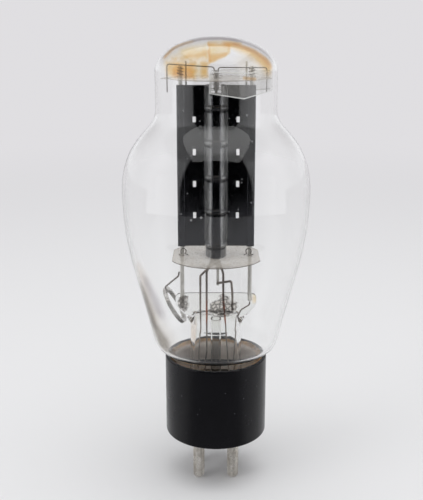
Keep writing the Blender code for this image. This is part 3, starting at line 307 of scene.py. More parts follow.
def with_holes(outline, holes, bottom, top, steps=20):
    """flat sheet with round holes, given a thickness"""
    curve = bpy.data.curves.new("outline", "CURVE")
    curve.dimensions = "2D"
    curve.fill_mode = "BOTH"
    curve.extrude = (top - bottom) / 2
    loops = [outline]
    for x, y, radius in holes:
        loops.append(arc((x, y), (radius, radius), 0, 360 - 360 / steps, steps - 1))
    for loop in loops:
        spline = curve.splines.new("POLY")
        spline.points.add(len(loop) - 1)
        spline.use_cyclic_u = True
        for point, position in zip(spline.points, loop):
            point.co = (*position, 0.0, 1.0)
    guide = bpy.data.objects.new("outline", curve)
    bpy.context.scene.collection.objects.link(guide)
    depsgraph = bpy.context.evaluated_depsgraph_get()
    mesh = bpy.data.meshes.new_from_object(guide.evaluated_get(depsgraph))
    bpy.data.objects.remove(guide, do_unlink=True)
    bm = bmesh.new()
    bm.from_mesh(mesh)
    bmesh.ops.remove_doubles(bm, verts=bm.verts, dist=1e-7)
    bmesh.ops.translate(bm, verts=bm.verts, vec=(0, 0, (top + bottom) / 2))
    return bm


def bulb_outline():
    """outer outline of the bulb from the crown down to the seal"""
    crown_z = TUBE_HEIGHT - DOME_CROWN
    side_z = crown_z - DOME_SIDE
    shoulder_z = side_z - SHOULDER_DROP
    down = (0.0, -1.0)
    slope = (0.66, -0.75)
    lean = (-0.21, -0.98)
    points = arc((0.0, crown_z), (DOME_R, DOME_CROWN), 90, 0, 26)
    points[0] = (0.0, TUBE_HEIGHT)
    points += [(DOME_R, crown_z - DOME_SIDE * i / 4) for i in range(1, 5)]
    points += ease((DOME_R, side_z), down, (SHOULDER_R, shoulder_z), slope, 12)
    points += ease((SHOULDER_R, shoulder_z), slope, (BELLY_R, BELLY_Z), down, 16)
    points += ease((BELLY_R, BELLY_Z), down, (CONE_R, CONE_Z), lean, 16)
    points += ease((CONE_R, CONE_Z), lean, (NECK_R, NECK_TOP_Z), (-0.45, -0.9), 18, pull=0.62)
    points.append((NECK_R, NECK_SEAL_Z))
    return points


def make_bulb(glass):
    """blown envelope with an even wall, open at the neck"""
    outer = bulb_outline()
    inner = offset_inward(outer, BULB_WALL)
    inner[0] = (0.0, TUBE_HEIGHT - BULB_WALL)
    inner[-1] = (NECK_R - BULB_WALL, NECK_SEAL_Z)
    mesh = mesh_from("bulb_glass", turned(outer + inner[::-1], 160), sharp=60)
    return finished("blown_bulb", mesh, glass, ["bulb"])


def stem_ring(half_width, half_depth, z, squareness, segments=112):
    """one level ring; squareness 2 is an ellipse, and more is squarer"""
    ring = []
    for i in range(segments):
        angle = math.tau * i / segments
        c, s = math.cos(angle), math.sin(angle)
        power = 2.0 / squareness
        ring.append((half_width * math.copysign(abs(c) ** power, c),
                     half_depth * math.copysign(abs(s) ** power, s), z))
    return ring


def stem_depth(z):
    """outer half depth of the stem between the flat press and the round neck"""
    share = min(max((PINCH_TOP_Z - z) / (PINCH_TOP_Z - STEM_NECK_Z), 0.0), 1.0)
    flat = PRESS_HALF_DEPTH * 0.9
    return flat + (STEM_NECK_R - flat) * share * share * (3 - 2 * share)


def flare_rings(top_r, mouth_r, mouth_z, steps=12):
    """rings down the flare, from its narrow top to its mouth"""
    rings = []
    for i in range(steps + 1):
        t = i / steps
        radius = top_r + (mouth_r - top_r) * t ** 2
        z = FLARE_START_Z + (mouth_z - FLARE_START_Z) * math.sin(t * math.pi / 2)
        rings.append(stem_ring(radius, radius, z, 2.0))
    return rings


def stem_outside():
    """rings down the outside: rounded top of the press, ears, neck and flare"""
    rings = [stem_ring(PRESS_HALF_WIDTH - 2.4 * MM, PRESS_HALF_DEPTH * 0.12, PRESS_TOP_Z - 0.25 * MM, 2.4)]
    for t in (0.1, 0.3, 0.5, 0.75, 1.0):
        swell = math.sin(t * math.pi / 2)
        drop = 1.6 * MM * (1 - math.cos(t * math.pi / 2))
        rings.append(stem_ring(PRESS_HALF_WIDTH - 1.6 * MM * (1 - swell),
                               PRESS_HALF_DEPTH * (0.2 + 0.85 * swell), PRESS_TOP_Z - drop, 2.4 + 0.6 * t))
    rings.append(stem_ring(PRESS_HALF_WIDTH, PRESS_HALF_DEPTH * 0.95, PRESS_TOP_Z - 2.6 * MM, 3.0))
    steps = 26
    for i in range(steps + 1):
        t = i / steps
        z = EARS_BOTTOM_Z + (STEM_NECK_Z - EARS_BOTTOM_Z) * t
        drawn_in = min((EARS_BOTTOM_Z - z) / (EARS_BOTTOM_Z - EARS_GONE_Z), 1.0)
        narrow = drawn_in * drawn_in * (3 - 2 * drawn_in)
        rings.append(stem_ring(PRESS_HALF_WIDTH + (STEM_NECK_R - PRESS_HALF_WIDTH) * narrow,
                               stem_depth(z), z, 3.0 - min(1.6 * t, 1.0)))
    rings.append(stem_ring(STEM_NECK_R, STEM_NECK_R, FLARE_START_Z, 2.0))
    rings += flare_rings(STEM_NECK_R, NECK_R - FLARE_GAP, LIP_Z)[1:]
    rings.append(stem_ring(NECK_R, NECK_R, LIP_Z, 2.0))
    return rings


def stem_inside():
    """rings up the hollow, which is pinched flat and ends in two humps beside the pumping tube"""
    lip_bottom_z = LIP_Z - LIP_THICKNESS
    inner_r = STEM_NECK_R - STEM_WALL
    rings = [stem_ring(NECK_R, NECK_R, lip_bottom_z, 2.0)]
    rings += flare_rings(inner_r, NECK_R - FLARE_GAP - STEM_WALL, lip_bottom_z)[::-1]
    pinch_z = STEM_NECK_Z - 0.5 * MM
    roof_z = HOLLOW_TOP_Z - HOLLOW_ROOF_RISE
    for i in range(9):
        t = i / 8
        z = pinch_z + (roof_z - pinch_z) * t
        depth = stem_depth(z) - STEM_WALL * (1 + 0.5 * t)
        rings.append(stem_ring(inner_r - 0.3 * MM * t, depth, z, 2.0 + 0.3 * t))
    last_depth = stem_depth(roof_z) - STEM_WALL * 1.5
    for i in range(1, 9):
        t = i / 8
        shrink = math.cos(t * math.pi / 2 * 0.96)
        z = roof_z + (HOLLOW_TOP_Z - roof_z) * math.sin(t * math.pi / 2)
        ring = stem_ring((inner_r - 0.3 * MM) * shrink ** 0.55, last_depth * shrink, z, 2.3)
        rings.append([(x, y, z - 1.4 * MM * t * math.exp(-(x / (1.2 * MM)) ** 2)
                       - 1.3 * MM * t * (x / inner_r) ** 2) for x, y, z in ring])
    return rings


def make_stem(glass):
    """glass foot in one piece: press, neck, flare and the hollow inside"""
    bm = bmesh.new()
    rings = [[bm.verts.new(p) for p in ring] for ring in stem_outside() + stem_inside()]
    for upper, lower in zip(rings, rings[1:]):
        count = len(upper)
        for i in range(count):
            j = (i + 1) % count
            bm.faces.new((upper[i], upper[j], lower[j], lower[i]))
    bm.faces.new(rings[0])
    bm.faces.new(rings[-1][::-1])
    return finished("pressed_stem", mesh_from("pressed_stem", bm, sharp=60), glass, ["stem"])


def make_exhaust_tube(glass):
    """thin tube with a drawn-out, sealed tip at the bottom"""
    taper, radius, wall = 3.0 * MM, 1.8 * MM, 0.5 * MM
    outer = arc((0.0, TUBE_TIP_Z + taper), (radius, taper), 0, -90, 10)
    outer[-1] = (0.0, TUBE_TIP_Z)
    inner = arc((0.0, TUBE_TIP_Z + taper), (radius - wall, taper - 2 * wall), -90, 0, 10)
    inner[0] = (0.0, TUBE_TIP_Z + 2 * wall)
    profile = [(radius, TUBE_TOP_Z)] + outer + inner + [(radius - wall, TUBE_TOP_Z)]
    mesh = mesh_from("pumping_tube", turned(profile, 48))
    return finished("pumping_tube", mesh, glass, ["exhaust_tube"])


def make_base(plastic):
    """moulded cup: rounded edges outside, and a sloped corner inside"""
    low_r, top_r, slope = 0.8 * MM, 0.4 * MM, 1.0 * MM
    profile = [(0.0, PIN_LENGTH)]
    profile += arc((BASE_R - low_r, PIN_LENGTH + low_r), (low_r, low_r), -90, 0, 6)
    profile += arc((BASE_R - top_r, BASE_RIM_Z - top_r), (top_r, top_r), 0, 90, 4)
    profile += [(BASE_INNER_R, BASE_RIM_Z), (BASE_INNER_R, BASE_FLOOR_Z + slope),
                (BASE_INNER_R - slope, BASE_FLOOR_Z), (0.0, BASE_FLOOR_Z)]
    return finished("base_cup", mesh_from("base_cup", turned(profile, 128), sharp=40), plastic,
                    ["base_shell"])


def pin_mesh(name, x, y, radius):
    """hollow pin with a round, soldered tip and a head on the base's floor inside"""
    tip_r, tip_h, solder = 0.88 * radius, 0.8 * radius, 2.5 * MM
    bore, head_r = radius - 0.55 * MM, radius + 0.7 * MM
    head_z = BASE_FLOOR_Z + SEAM
    top_z = head_z + 1.0 * MM
    profile = [(0.0, 0.0)] + arc((radius - tip_r, tip_h), (tip_r, tip_h), -90, 0, 12)
    profile += [(radius, head_z), (head_r, head_z), (head_r, top_z), (bore, top_z), (bore, solder),
                (0.0, solder)]
    bm = turned(profile, 48)
    bmesh.ops.translate(bm, verts=bm.verts, vec=(x, y, 0.0))
    return mesh_from(name, bm)


def make_pins(metal):
    """four contact pins and the locating pin at the rear"""
    x, y = PIN_HALF_SPACING_X, PIN_HALF_SPACING_Y
    places = (("filament_pin_left", -x, -y, THICK_PIN_R), ("filament_pin_right", x, -y, THICK_PIN_R),
              ("grid_pin", -x, y, THIN_PIN_R), ("plate_pin", x, y, THIN_PIN_R))
    for node, px, py, radius in places:
        finished("tinned_" + node, pin_mesh(node, px, py, radius), metal, [node])
    inside, reach = BASE_INNER_R - SEAM, BASE_R + 2.2 * MM
    head_r, head, radius, round_r = 1.9 * MM, 0.6 * MM, 1.15 * MM, 0.4 * MM
    profile = [(0.0, inside - head), (head_r, inside - head), (head_r, inside), (radius, inside)]
    profile += arc((radius - round_r, reach - round_r), (round_r, round_r), 0, 90, 6) + [(0.0, reach)]
    bm = turned(profile, 32)
    bmesh.ops.rotate(bm, verts=bm.verts, matrix=Matrix.Rotation(math.radians(-90), 3, "X"))
    bmesh.ops.translate(bm, verts=bm.verts, vec=(0.0, 0.0, PIN_LENGTH + 8.0 * MM))
    finished("locating_pin", mesh_from("locating_pin", bm), metal, ["bayonet_pin"])


def radius_at(outline, z):
    """radius of a downward outline at one height"""
    for (r0, z0), (r1, z1) in zip(outline, outline[1:]):
        if z0 >= z >= z1 and z0 > z1:
            return r0 + (r1 - r0) * (z0 - z) / (z0 - z1)
    return outline[-1][0]


def ripple(angle, seed):
    """slow uneven swing round a ring, -1 to 1"""
    return (math.sin(2 * angle + seed) * 0.5 + math.sin(5 * angle + 2.3 * seed) * 0.3
            + math.sin(11 * angle + 4.1 * seed) * 0.2)


def make_cement(paste):
    """ring of cement whose top edge rises and falls as it was wiped"""
    skin, least, crest = 0.03 * MM, 0.1 * MM, 0.2 * MM
    grown = offset_inward(bulb_outline(), -skin)
    outer_r = BASE_INNER_R - skin
    segments, steps = 144, 10
    bm = bmesh.new()
    loops = []
    for i in range(segments):
        angle = math.tau * i / segments
        top = CEMENT_TOP_Z + 0.45 * MM * ripple(angle, 1.7)
        section = [(outer_r, CEMENT_BOTTOM_Z), (outer_r, top)]
        inner_top_r = min(radius_at(grown, top + crest), outer_r - least)
        section += [((outer_r + inner_top_r) / 2, top + 0.6 * crest), (inner_top_r, top + crest)]
        for k in range(1, steps + 1):
            z = top + (CEMENT_BOTTOM_Z - top) * k / steps
            section.append((min(radius_at(grown, z), outer_r - least), z))
        loops.append([bm.verts.new((r * math.cos(angle), r * math.sin(angle), z)) for r, z in section])
    for one, two in zip(loops, loops[1:] + loops[:1]):
        for k in range(len(one)):
            m = (k + 1) % len(one)
            bm.faces.new((one[k], one[m], two[m], two[k]))
    return finished("cement_ring", mesh_from("cement_ring", bm), paste, ["base_cement"])


def channel_points(x, seam):
    """half of the flat-faced channel round a rod, its corners rounded"""
    half, corner = CHANNEL_HALF - SHEET / 2, CHANNEL_CORNER_R
    near = half - corner
    left = arc((x - near, -near), (corner, corner), 180, 270, 5)
    right = arc((x + near, -near), (corner, corner), 270, 360, 5)
    return [(x - half, seam)] + left + right + [(x + half, seam)]


def anode_points(rise):
    """points across half of the plate, left to right: channel, wing, column, wing, channel;
    BESIDE_COLUMN of them lie on each side of the column"""
    seam = -(SEAM + SHEET) / 2
    left = channel_points(-PLATE_ROD_X, seam)
    right = channel_points(PLATE_ROD_X, seam)
    column_half_width = COLUMN_HALF_WIDTH - SHEET / 2 + rise
    column_half_depth = COLUMN_HALF_DEPTH - SHEET / 2 + rise
    turn = math.degrees(math.asin(-seam / column_half_depth))
    column = []
    for i in range(31):
        angle = math.radians(180 + turn + (180 - 2 * turn) * i / 30)
        c, s = math.cos(angle), math.sin(angle)
        column.append((column_half_width * math.copysign(abs(c) ** 0.85, c), column_half_depth * s))
    window_left = [(-WINDOW_X - WINDOW_HALF_WIDTH, seam), (-WINDOW_X + WINDOW_HALF_WIDTH, seam)]
    window_right = [(WINDOW_X - WINDOW_HALF_WIDTH, seam), (WINDOW_X + WINDOW_HALF_WIDTH, seam)]
    foot_left = [(-COLUMN_HALF_WIDTH - COLUMN_FOOT, seam)]
    foot_right = [(COLUMN_HALF_WIDTH + COLUMN_FOOT, seam)]
    return left + window_left + foot_left + column + foot_right + window_right + right


def anode_rows():
    """height and bead rise of every row of the plate"""
    rows = {round(z, 7): 0.0 for z in (COLUMN_BOTTOM_Z, ANODE_WING_BOTTOM_Z, ANODE_TOP_Z - NOTCH_HEIGHT,
                                       ANODE_TOP_Z)}
    for k in range(WINDOW_COUNT):
        centre = WINDOW_FIRST_Z + k * WINDOW_PITCH
        rows[round(centre - WINDOW_HALF_HEIGHT, 7)] = 0.0
        rows[round(centre + WINDOW_HALF_HEIGHT, 7)] = 0.0
    for k in range(RING_COUNT):
        centre = FIRST_RING_Z + k * RING_PITCH
        for step in range(-7, 8):
            t = step / 7
            rise = RING_RISE * (0.5 + 0.5 * math.cos(math.pi * t)) ** 0.8
            rows[round(centre + t * RING_HEIGHT / 2, 7)] = rise
    return sorted(rows.items())


def thicken(piece, name, thickness):
    """give a bare surface a thickness, half to each side"""
    solidify = piece.modifiers.new(name, "SOLIDIFY")
    solidify.thickness = thickness
    solidify.offset = 0.0
    solidify.use_even_offset = True


def make_anode_half(name, node, side, coating):
    """one stamped sheet of the plate; side 1 is the front, -1 the rear"""
    rows = anode_rows()
    spans = [(WINDOW_FIRST_Z + k * WINDOW_PITCH - WINDOW_HALF_HEIGHT,
              WINDOW_FIRST_Z + k * WINDOW_PITCH + WINDOW_HALF_HEIGHT) for k in range(WINDOW_COUNT)]
    bm = bmesh.new()
    grid = [[bm.verts.new((x, side * y, z)) for x, y in anode_points(rise)] for z, rise in rows]
    columns = len(grid[0])
    notch_z = ANODE_TOP_Z - NOTCH_HEIGHT
    tiny = 1e-6
    for low, high in zip(range(len(rows) - 1), range(1, len(rows))):
        z0, z1 = rows[low][0], rows[high][0]
        in_window = any(a - tiny < z0 and z1 < b + tiny for a, b in spans)
        for i in range(columns - 1):
            middle = (grid[low][i].co.x + grid[low][i + 1].co.x) / 2
            in_column = BESIDE_COLUMN <= i < columns - 1 - BESIDE_COLUMN
            if z1 < ANODE_WING_BOTTOM_Z + tiny and not in_column:
                continue
            if in_window and abs(abs(middle) - WINDOW_X) < WINDOW_HALF_WIDTH - tiny and not in_column:
                continue
            if in_column and z0 > notch_z - tiny and abs(middle) < NOTCH_HALF_WIDTH:
                continue
            bm.faces.new((grid[low][i], grid[low][i + 1], grid[high][i + 1], grid[high][i]))
    bmesh.ops.delete(bm, geom=[v for v in bm.verts if not v.link_faces], context="VERTS")
    mesh = mesh_from(name, bm, sharp=28)
    piece = finished(name, mesh, coating, [node])
    thicken(piece, "sheet", SHEET)
    level = piece.modifiers.new("flat_faces_stay_flat", "WEIGHTED_NORMAL")
    level.keep_sharp = True
    level.weight = 80
    return piece


def make_rods(nickel, steel):
    """thick and thin rods, the turns of wire above the upper mica and the clips on the lower one"""
    for side, label in ((-1, "left"), (1, "right")):
        bm = rod(side * PLATE_ROD_X, 0.0, ROD_FEET_Z[label], PLATE_ROD_TOP_Z, PLATE_ROD_R)
        mesh = mesh_from("thick_rod", bm)
        finished("thick_rod_" + label, mesh, nickel, ["plate_rod_" + label])
        mesh = mesh_from("thin_rod", rod(side * TIE_ROD_X, TIE_ROD_Y, ANODE_WING_BOTTOM_Z + 2.0 * MM,
                                         TIE_ROD_TOP_Z, TIE_ROD_R))
        finished("thin_rod_" + label, mesh, nickel, ["tie_rod_" + label])

        radius = PLATE_ROD_R + 0.3 * MM
        route = spiral((side * PLATE_ROD_X, 0.0), (side * radius, radius),
                       UPPER_MICA_TOP_Z + SEAM + WRAP_WIRE_R, WRAP_PITCH, 3, 24)
        finished("binding_wire_" + label, wire("binding_wire", route, WRAP_WIRE_R), steel,
                 ["rod_wrap_" + label])

        foot_z = LOWER_MICA_TOP_Z + SEAM + CLIP_WIRE_R
        x, foot_reach, clip_y = side * (PLATE_ROD_X - 0.55 * MM), 1.6 * MM, -1.4 * MM
        ring = arc((x, foot_z + 1.25 * MM), (CLIP_RING_R, CLIP_RING_R), -60, 240, 22)
        outline = [(x + foot_reach, foot_z)] + ring + [(x - foot_reach, foot_z)]
        route = [(px, clip_y, pz) for px, pz in outline]
        finished("spread_clip_" + label, wire("spread_clip", route, CLIP_WIRE_R), steel,
                 ["rod_clip_" + label])


def bumper_sheet(name, node, side, mica):
    """folded strip of clear mica on edge, with rounded inner corners and a crisp fold"""
    inner, fold, outer = (Vector((p.x, side * p.y, p.z)) for p in (BUMPER_INNER, BUMPER_FOLD, BUMPER_OUTER))
    bm = bmesh.new()
    towards = (fold - inner).normalized()
    corner = []
    round_r = BUMPER_CORNER_R
    for along, up in arc((round_r, -round_r), (round_r, round_r), 180, 90, 10):
        point = inner + towards * along
        corner.append(bm.verts.new((point.x, point.y, BUMPER_TOP_Z + up)))
    low_inner, low_fold, low_outer = bm.verts.new(inner), bm.verts.new(fold), bm.verts.new(outer)
    top_fold = bm.verts.new((fold.x, fold.y, BUMPER_TOP_Z))
    top_outer = bm.verts.new((outer.x, outer.y, BUMPER_TOP_Z))
    bm.faces.new([low_inner, low_fold, top_fold] + corner[::-1])
    bm.faces.new([low_fold, low_outer, top_outer, top_fold])
    bmesh.ops.recalc_face_normals(bm, faces=bm.faces)
    mesh = bpy.data.meshes.new(name)
    bm.to_mesh(mesh)
    bm.free()
    piece = finished(name, mesh, mica, [node])
    thicken(piece, "thickness", BUMPER_THICKNESS)
    return piece


def make_micas(mica, clear_mica):
    """lower sheet with two straight sides, upper disc with two tabs, and the two folded strips"""
    corner = math.degrees(math.acos(LOWER_MICA_HALF_WIDTH / LOWER_MICA_R))
    outline = arc((0, 0), (LOWER_MICA_R, LOWER_MICA_R), corner, 180 - corner, 40)
    outline += arc((0, 0), (LOWER_MICA_R, LOWER_MICA_R), 180 + corner, 360 - corner, 40)
    holes = [(side * PLATE_ROD_X, 0.0, PLATE_ROD_R + ROD_CLEARANCE) for side in (-1, 1)]
    holes += [(0.0, side * GRID_ROD_Y, GRID_ROD_R + ROD_CLEARANCE) for side in (-1, 1)]
    holes += [(side * STRAND_X, side * STRAND_Y, LEAD_R + ROD_CLEARANCE) for side in (-1, 1)]
    holes.append((HOOK_R, 0.0, SPRING_HOLE_R))
    bm = with_holes(outline, holes, LOWER_MICA_BOTTOM_Z, LOWER_MICA_TOP_Z)
    mesh = mesh_from("lower_sheet", bm)
    finished("lower_mica_sheet", mesh, mica, ["lower_mica"])

    corner = math.degrees(math.asin(TAB_ROOT_HALF_WIDTH / UPPER_MICA_R))
    outline = arc((0, 0), (UPPER_MICA_R, UPPER_MICA_R), corner, 180 - corner, 60)
    outline += [(-TAB_X, TAB_HALF_WIDTH), (-TAB_X, -TAB_HALF_WIDTH)]
    outline += arc((0, 0), (UPPER_MICA_R, UPPER_MICA_R), 180 + corner, 360 - corner, 60)
    outline += [(TAB_X, -TAB_HALF_WIDTH), (TAB_X, TAB_HALF_WIDTH)]
    holes = []
    for side in (-1, 1):
        holes.append((side * PLATE_ROD_X, 0.0, PLATE_ROD_R + ROD_CLEARANCE))
        holes.append((side * TIE_ROD_X, TIE_ROD_Y, TIE_ROD_R + ROD_CLEARANCE))
    for side, label in ((-1, "left"), (1, "right")):
        holes.append((SPRING_LEG_X[label], side * HOOK_Y, SPRING_HOLE_R))
    bm = with_holes(outline, holes, UPPER_MICA_BOTTOM_Z, UPPER_MICA_TOP_Z)
    mesh = mesh_from("upper_sheet", bm)
    finished("upper_mica_sheet", mesh, mica, ["upper_mica"])
    bumper_sheet("bumper_strip_front", "bumper_front", 1, clear_mica)
    bumper_sheet("bumper_strip_rear", "bumper_rear", -1, clear_mica)


def make_grid(metal):
    """two rods with the fine wire wound round them in a flattened spiral"""
    for side, label in ((-1, "front"), (1, "rear")):
        bm = rod(0.0, side * GRID_ROD_Y, GRID_ROD_BOTTOM_Z, GRID_ROD_TOP_Z, GRID_ROD_R)
        mesh = mesh_from("grid_rod", bm)
        finished("grid_side_rod_" + label, mesh, metal, ["grid_rod_" + label])
    turns, low, high = 40, 82.0 * MM, 140.2 * MM
    path = spiral((0.0, 0.0), (GRID_HALF_WIDTH, GRID_HALF_DEPTH), low, (high - low) / turns, turns, 20)
    finished("grid_helix", wire("grid_helix", path, GRID_WIRE_R, resolution=1), metal, ["grid_winding"])


def make_filament(oxide):
    """M-shaped strand with round bends, its two ends a little lower than the middle bend"""
    bend, top, bottom = FILAMENT_BEND_R, FILAMENT_TOP_Z, FILAMENT_BOTTOM_Z
    inner = HOOK_Y - bend
    path = [(0.0, -HOOK_Y - bend, bottom - 0.6 * MM)]
    path += [(0.0, y, z) for y, z in arc((-HOOK_Y, top), (bend, bend), 180, 0, 16)]
    path += [(0.0, y, z) for y, z in arc((0.0, bottom + inner), (inner, inner), 180, 360, 16)]
    path += [(0.0, y, z) for y, z in arc((HOOK_Y, top), (bend, bend), 180, 0, 16)]
    path.append((0.0, HOOK_Y + bend, bottom - 0.6 * MM))
    finished("coated_filament", wire("coated_filament", path, FILAMENT_R), oxide, ["filament"])


def make_springs(steel):
    """spring wires held in the upper mica, with the filament's bends hung on their small hooks"""
    hook_z = FILAMENT_TOP_Z + FILAMENT_BEND_R - FILAMENT_R - SEAM - HOOK_WIRE_R
    for label, side, rise, droop in (("left", -1, 4.5 * MM, 0.9 * MM), ("right", 1, 3.2 * MM, -0.2 * MM)):
        y, leg_x, arm_z = side * HOOK_Y, SPRING_LEG_X[label], UPPER_MICA_TOP_Z + rise
        corners = [(leg_x, y, 134.0 * MM), (leg_x, y, arm_z), (side * HOOK_R, y, arm_z - droop),
                   (side * HOOK_R, y, hook_z + HOOK_R)]
        path = rounded_path(corners, 1.0 * MM)
        hook = arc((0.0, hook_z + HOOK_R), (side * HOOK_R, HOOK_R), 0, -200, 18)
        path += [(x, y, z) for x, z in hook[1:]]
        finished("hanger_spring_" + label, wire("hanger_spring", path, SPRING_WIRE_R), steel,
                 ["filament_spring_" + label])


def make_centre_hold(steel, nickel):
    """hook over the filament's middle bend, and the flat strap beside its foot"""
    arch_z = FILAMENT_BOTTOM_Z + FILAMENT_R + SEAM + HOOK_WIRE_R - HOOK_R
    strap_top = LOWER_MICA_BOTTOM_Z - SEAM
    path = [(HOOK_R, 0.0, strap_top - 4.0 * MM)]
    path += [(x, 0.0, z) for x, z in arc((0.0, arch_z), (HOOK_R, HOOK_R), 0, 200, 18)]
    finished("middle_hook", wire("middle_hook", path, HOOK_WIRE_R), steel, ["centre_hook"])
    strap_bottom, half_width, far, near = 69.5 * MM, 0.45 * MM, -0.77 * MM, -0.52 * MM
    bm = bmesh.new()
    bmesh.ops.create_cube(bm, size=1.0)
    for v in bm.verts:
        v.co = (HOOK_R + math.copysign(half_width, v.co.x), near if v.co.y > 0 else far,
                strap_top if v.co.z > 0 else strap_bottom)
    bmesh.ops.bevel(bm, geom=list(bm.edges), offset=0.05 * MM, segments=2, affect="EDGES")
    finished("flat_strap", mesh_from("flat_strap", bm), nickel, ["centre_strap"])


def lead_routes():
    """route of each wire, top end first: through the press to a pin, or from the strap into the press"""
    spread_z, hollow_z, into_z, end_z = FLARE_START_Z, STEM_NECK_Z, 23.1 * MM, 2.8 * MM
    px, py = PIN_HALF_SPACING_X, PIN_HALF_SPACING_Y
    above, below = FILAMENT_BOTTOM_Z, LOWER_MICA_Z - 2.0 * MM
    grid_top = LOWER_MICA_BOTTOM_Z - SEAM
    post_y = -1.47 * MM
    return {
        "filament_lead_left": [
            (-STRAND_X, -STRAND_Y, above), (-STRAND_X, -STRAND_Y, below), (-5.3 * MM, 0, 72.7 * MM),
            (-5.3 * MM, 0, hollow_z), (-5.9 * MM, 0, spread_z), (-px, -py, into_z), (-px, -py, end_z)],
        "filament_lead_right": [
            (STRAND_X, STRAND_Y, above), (STRAND_X, STRAND_Y, below), (2.5 * MM, 0, 73.5 * MM),
            (2.5 * MM, 0, 64.6 * MM), (3.4 * MM, 0, hollow_z), (4.0 * MM, -0.6 * MM, spread_z),
            (px, -py, into_z), (px, -py, end_z)],
        "grid_lead": [
            (-1.1 * MM, GRID_ROD_Y, grid_top), (-1.1 * MM, GRID_ROD_Y, grid_top - 1.2 * MM),
            (-3.15 * MM, 0, 74.0 * MM), (-3.15 * MM, 0, spread_z), (-px, py, into_z), (-px, py, end_z)],
        "plate_lead": [
            (PLATE_ROD_X, 0, 63.7 * MM), (PLATE_ROD_X, 0, 62.6 * MM), (8.6 * MM, 0, 60.8 * MM),
            (7.3 * MM, 0, 58.0 * MM), (7.1 * MM, 0, hollow_z), (6.5 * MM, 0, spread_z),
            (px, py, into_z), (px, py, end_z)],
        "centre_support": [
            (0.24 * MM, post_y, 70.5 * MM), (5.2 * MM, post_y, 71.3 * MM),
            (5.6 * MM, -0.4 * MM, PRESS_TOP_Z), (5.6 * MM, 0, 60.7 * MM)],
    }


def make_leads(plain, sealed):
    """wires through the press, thinner below it; two of them are discoloured where they are sealed in"""
    for node, corners in lead_routes().items():
        ends_in_press = node == "centre_support"
        path = rounded_path(corners, 0.7 * MM if ends_in_press else 1.5 * MM)
        radius = THIN_LEAD_R if node == "plate_lead" else LEAD_R
        data = wire(node + "_wire", path, radius, None if ends_in_press else PRESS_BOTTOM_Z, THIN_LEAD_R)
        metal = sealed if node in ("filament_lead_right", "grid_lead") else plain
        finished(node + "_wire", data, metal, [node])


def make_getter(steel, arm_steel):
    """ring of bent channel, open towards the glass, on a wire from the left rod"""
    half, sheet, deep = 0.6 * MM, 0.25 * MM, 1.2 * MM
    inner, outer = GETTER_R - half, GETTER_R + half
    profile = [(inner, 0.0), (outer, 0.0), (outer, deep), (outer - sheet, deep), (outer - sheet, sheet),
               (inner + sheet, sheet), (inner + sheet, deep), (inner, deep)]
    tilt, turn = math.radians(GETTER_TILT), math.radians(GETTER_TURN)
    facing = Vector((math.sin(tilt) * math.cos(turn), math.sin(tilt) * math.sin(turn), -math.cos(tilt)))
    bm = turned(profile, 96)
    bmesh.ops.transform(bm, verts=bm.verts, matrix=Matrix.Translation(GETTER_CENTRE)
                        @ facing.to_track_quat("Z", "Y").to_matrix().to_4x4())
    finished("getter_channel", mesh_from("getter_channel", bm), steel, ["getter_ring"])
    arm_r, behind = 0.3 * MM, facing * -0.35 * MM
    rod_point = Vector((-PLATE_ROD_X - PLATE_ROD_R - 2 * arm_r, 0.0, 72.6 * MM))
    in_plane = rod_point - GETTER_CENTRE
    in_plane -= facing * in_plane.dot(facing)
    outward = in_plane.normalized()
    corners = [rod_point + Vector((0.25 * MM, 0, 1.5 * MM)), rod_point,
               GETTER_CENTRE + outward * (outer + 1.1 * MM) + behind,
               GETTER_CENTRE + outward * inner + behind]
    finished("getter_wire", wire("getter_wire", rounded_path(corners, 0.6 * MM), arm_r), arm_steel,
             ["getter_arm"])


def put(tree, socket, value):
    """link a socket to a value, or set it"""
    if isinstance(value, bpy.types.NodeSocket):
        tree.links.new(value, socket)
    elif isinstance(value, (tuple, list, Vector)) and socket.type == "RGBA":
        socket.default_value = (*value, 1.0)
    else:
        socket.default_value = value


def fill(tree, node, values):
    """put values on a node's named inputs, with _ for each space in a name"""
    for key, value in values.items():
        put(tree, node.inputs[key.replace("_", " ")], value)
    return node


def add(tree, kind, settings=None, **inputs):
    """one shader node with its settings and inputs"""
    node = tree.nodes.new("ShaderNode" + kind)
    for key, value in (settings or {}).items():
        setattr(node, key, value)
    return fill(tree, node, inputs)


def fill_in_order(tree, node, values):
    for socket, value in zip(node.inputs, values):
        put(tree, socket, value)
    return node


def calc(tree, operation, first, second=0.0, clamp=False):
    node = add(tree, "Math", {"operation": operation, "use_clamp": clamp})
    return fill_in_order(tree, node, (first, second)).outputs[0]


def product(tree, first, *others):
    for other in others:
        first = calc(tree, "MULTIPLY", first, other)
    return first


def vector_calc(tree, operation, *values):
    """outputs of one step of vector arithmetic"""
    return fill_in_order(tree, add(tree, "VectorMath", {"operation": operation}), values).outputs


def axes(tree, vector):
    return add(tree, "SeparateXYZ", None, Vector=vector).outputs


def blend(tree, factor, under, over, mode="MIX"):
    """two colours mixed by a factor"""
    node = add(tree, "Mix", {"data_type": "RGBA", "blend_type": mode})
    for index, value in ((0, factor), (6, under), (7, over)):
        put(tree, node.inputs[index], value)
    return node.outputs[2]


def blend_value(tree, factor, under, over):
    """two numbers mixed by a factor"""
    node = add(tree, "Mix")
    for index, value in ((0, factor), (2, under), (3, over)):
        put(tree, node.inputs[index], value)
    return node.outputs[0]


def painted(tree, colour, mask, strength, tone, mode="MIX"):
    """the colour with a tone laid on where the mask is"""
    return blend(tree, product(tree, mask, strength), colour, tone, mode)


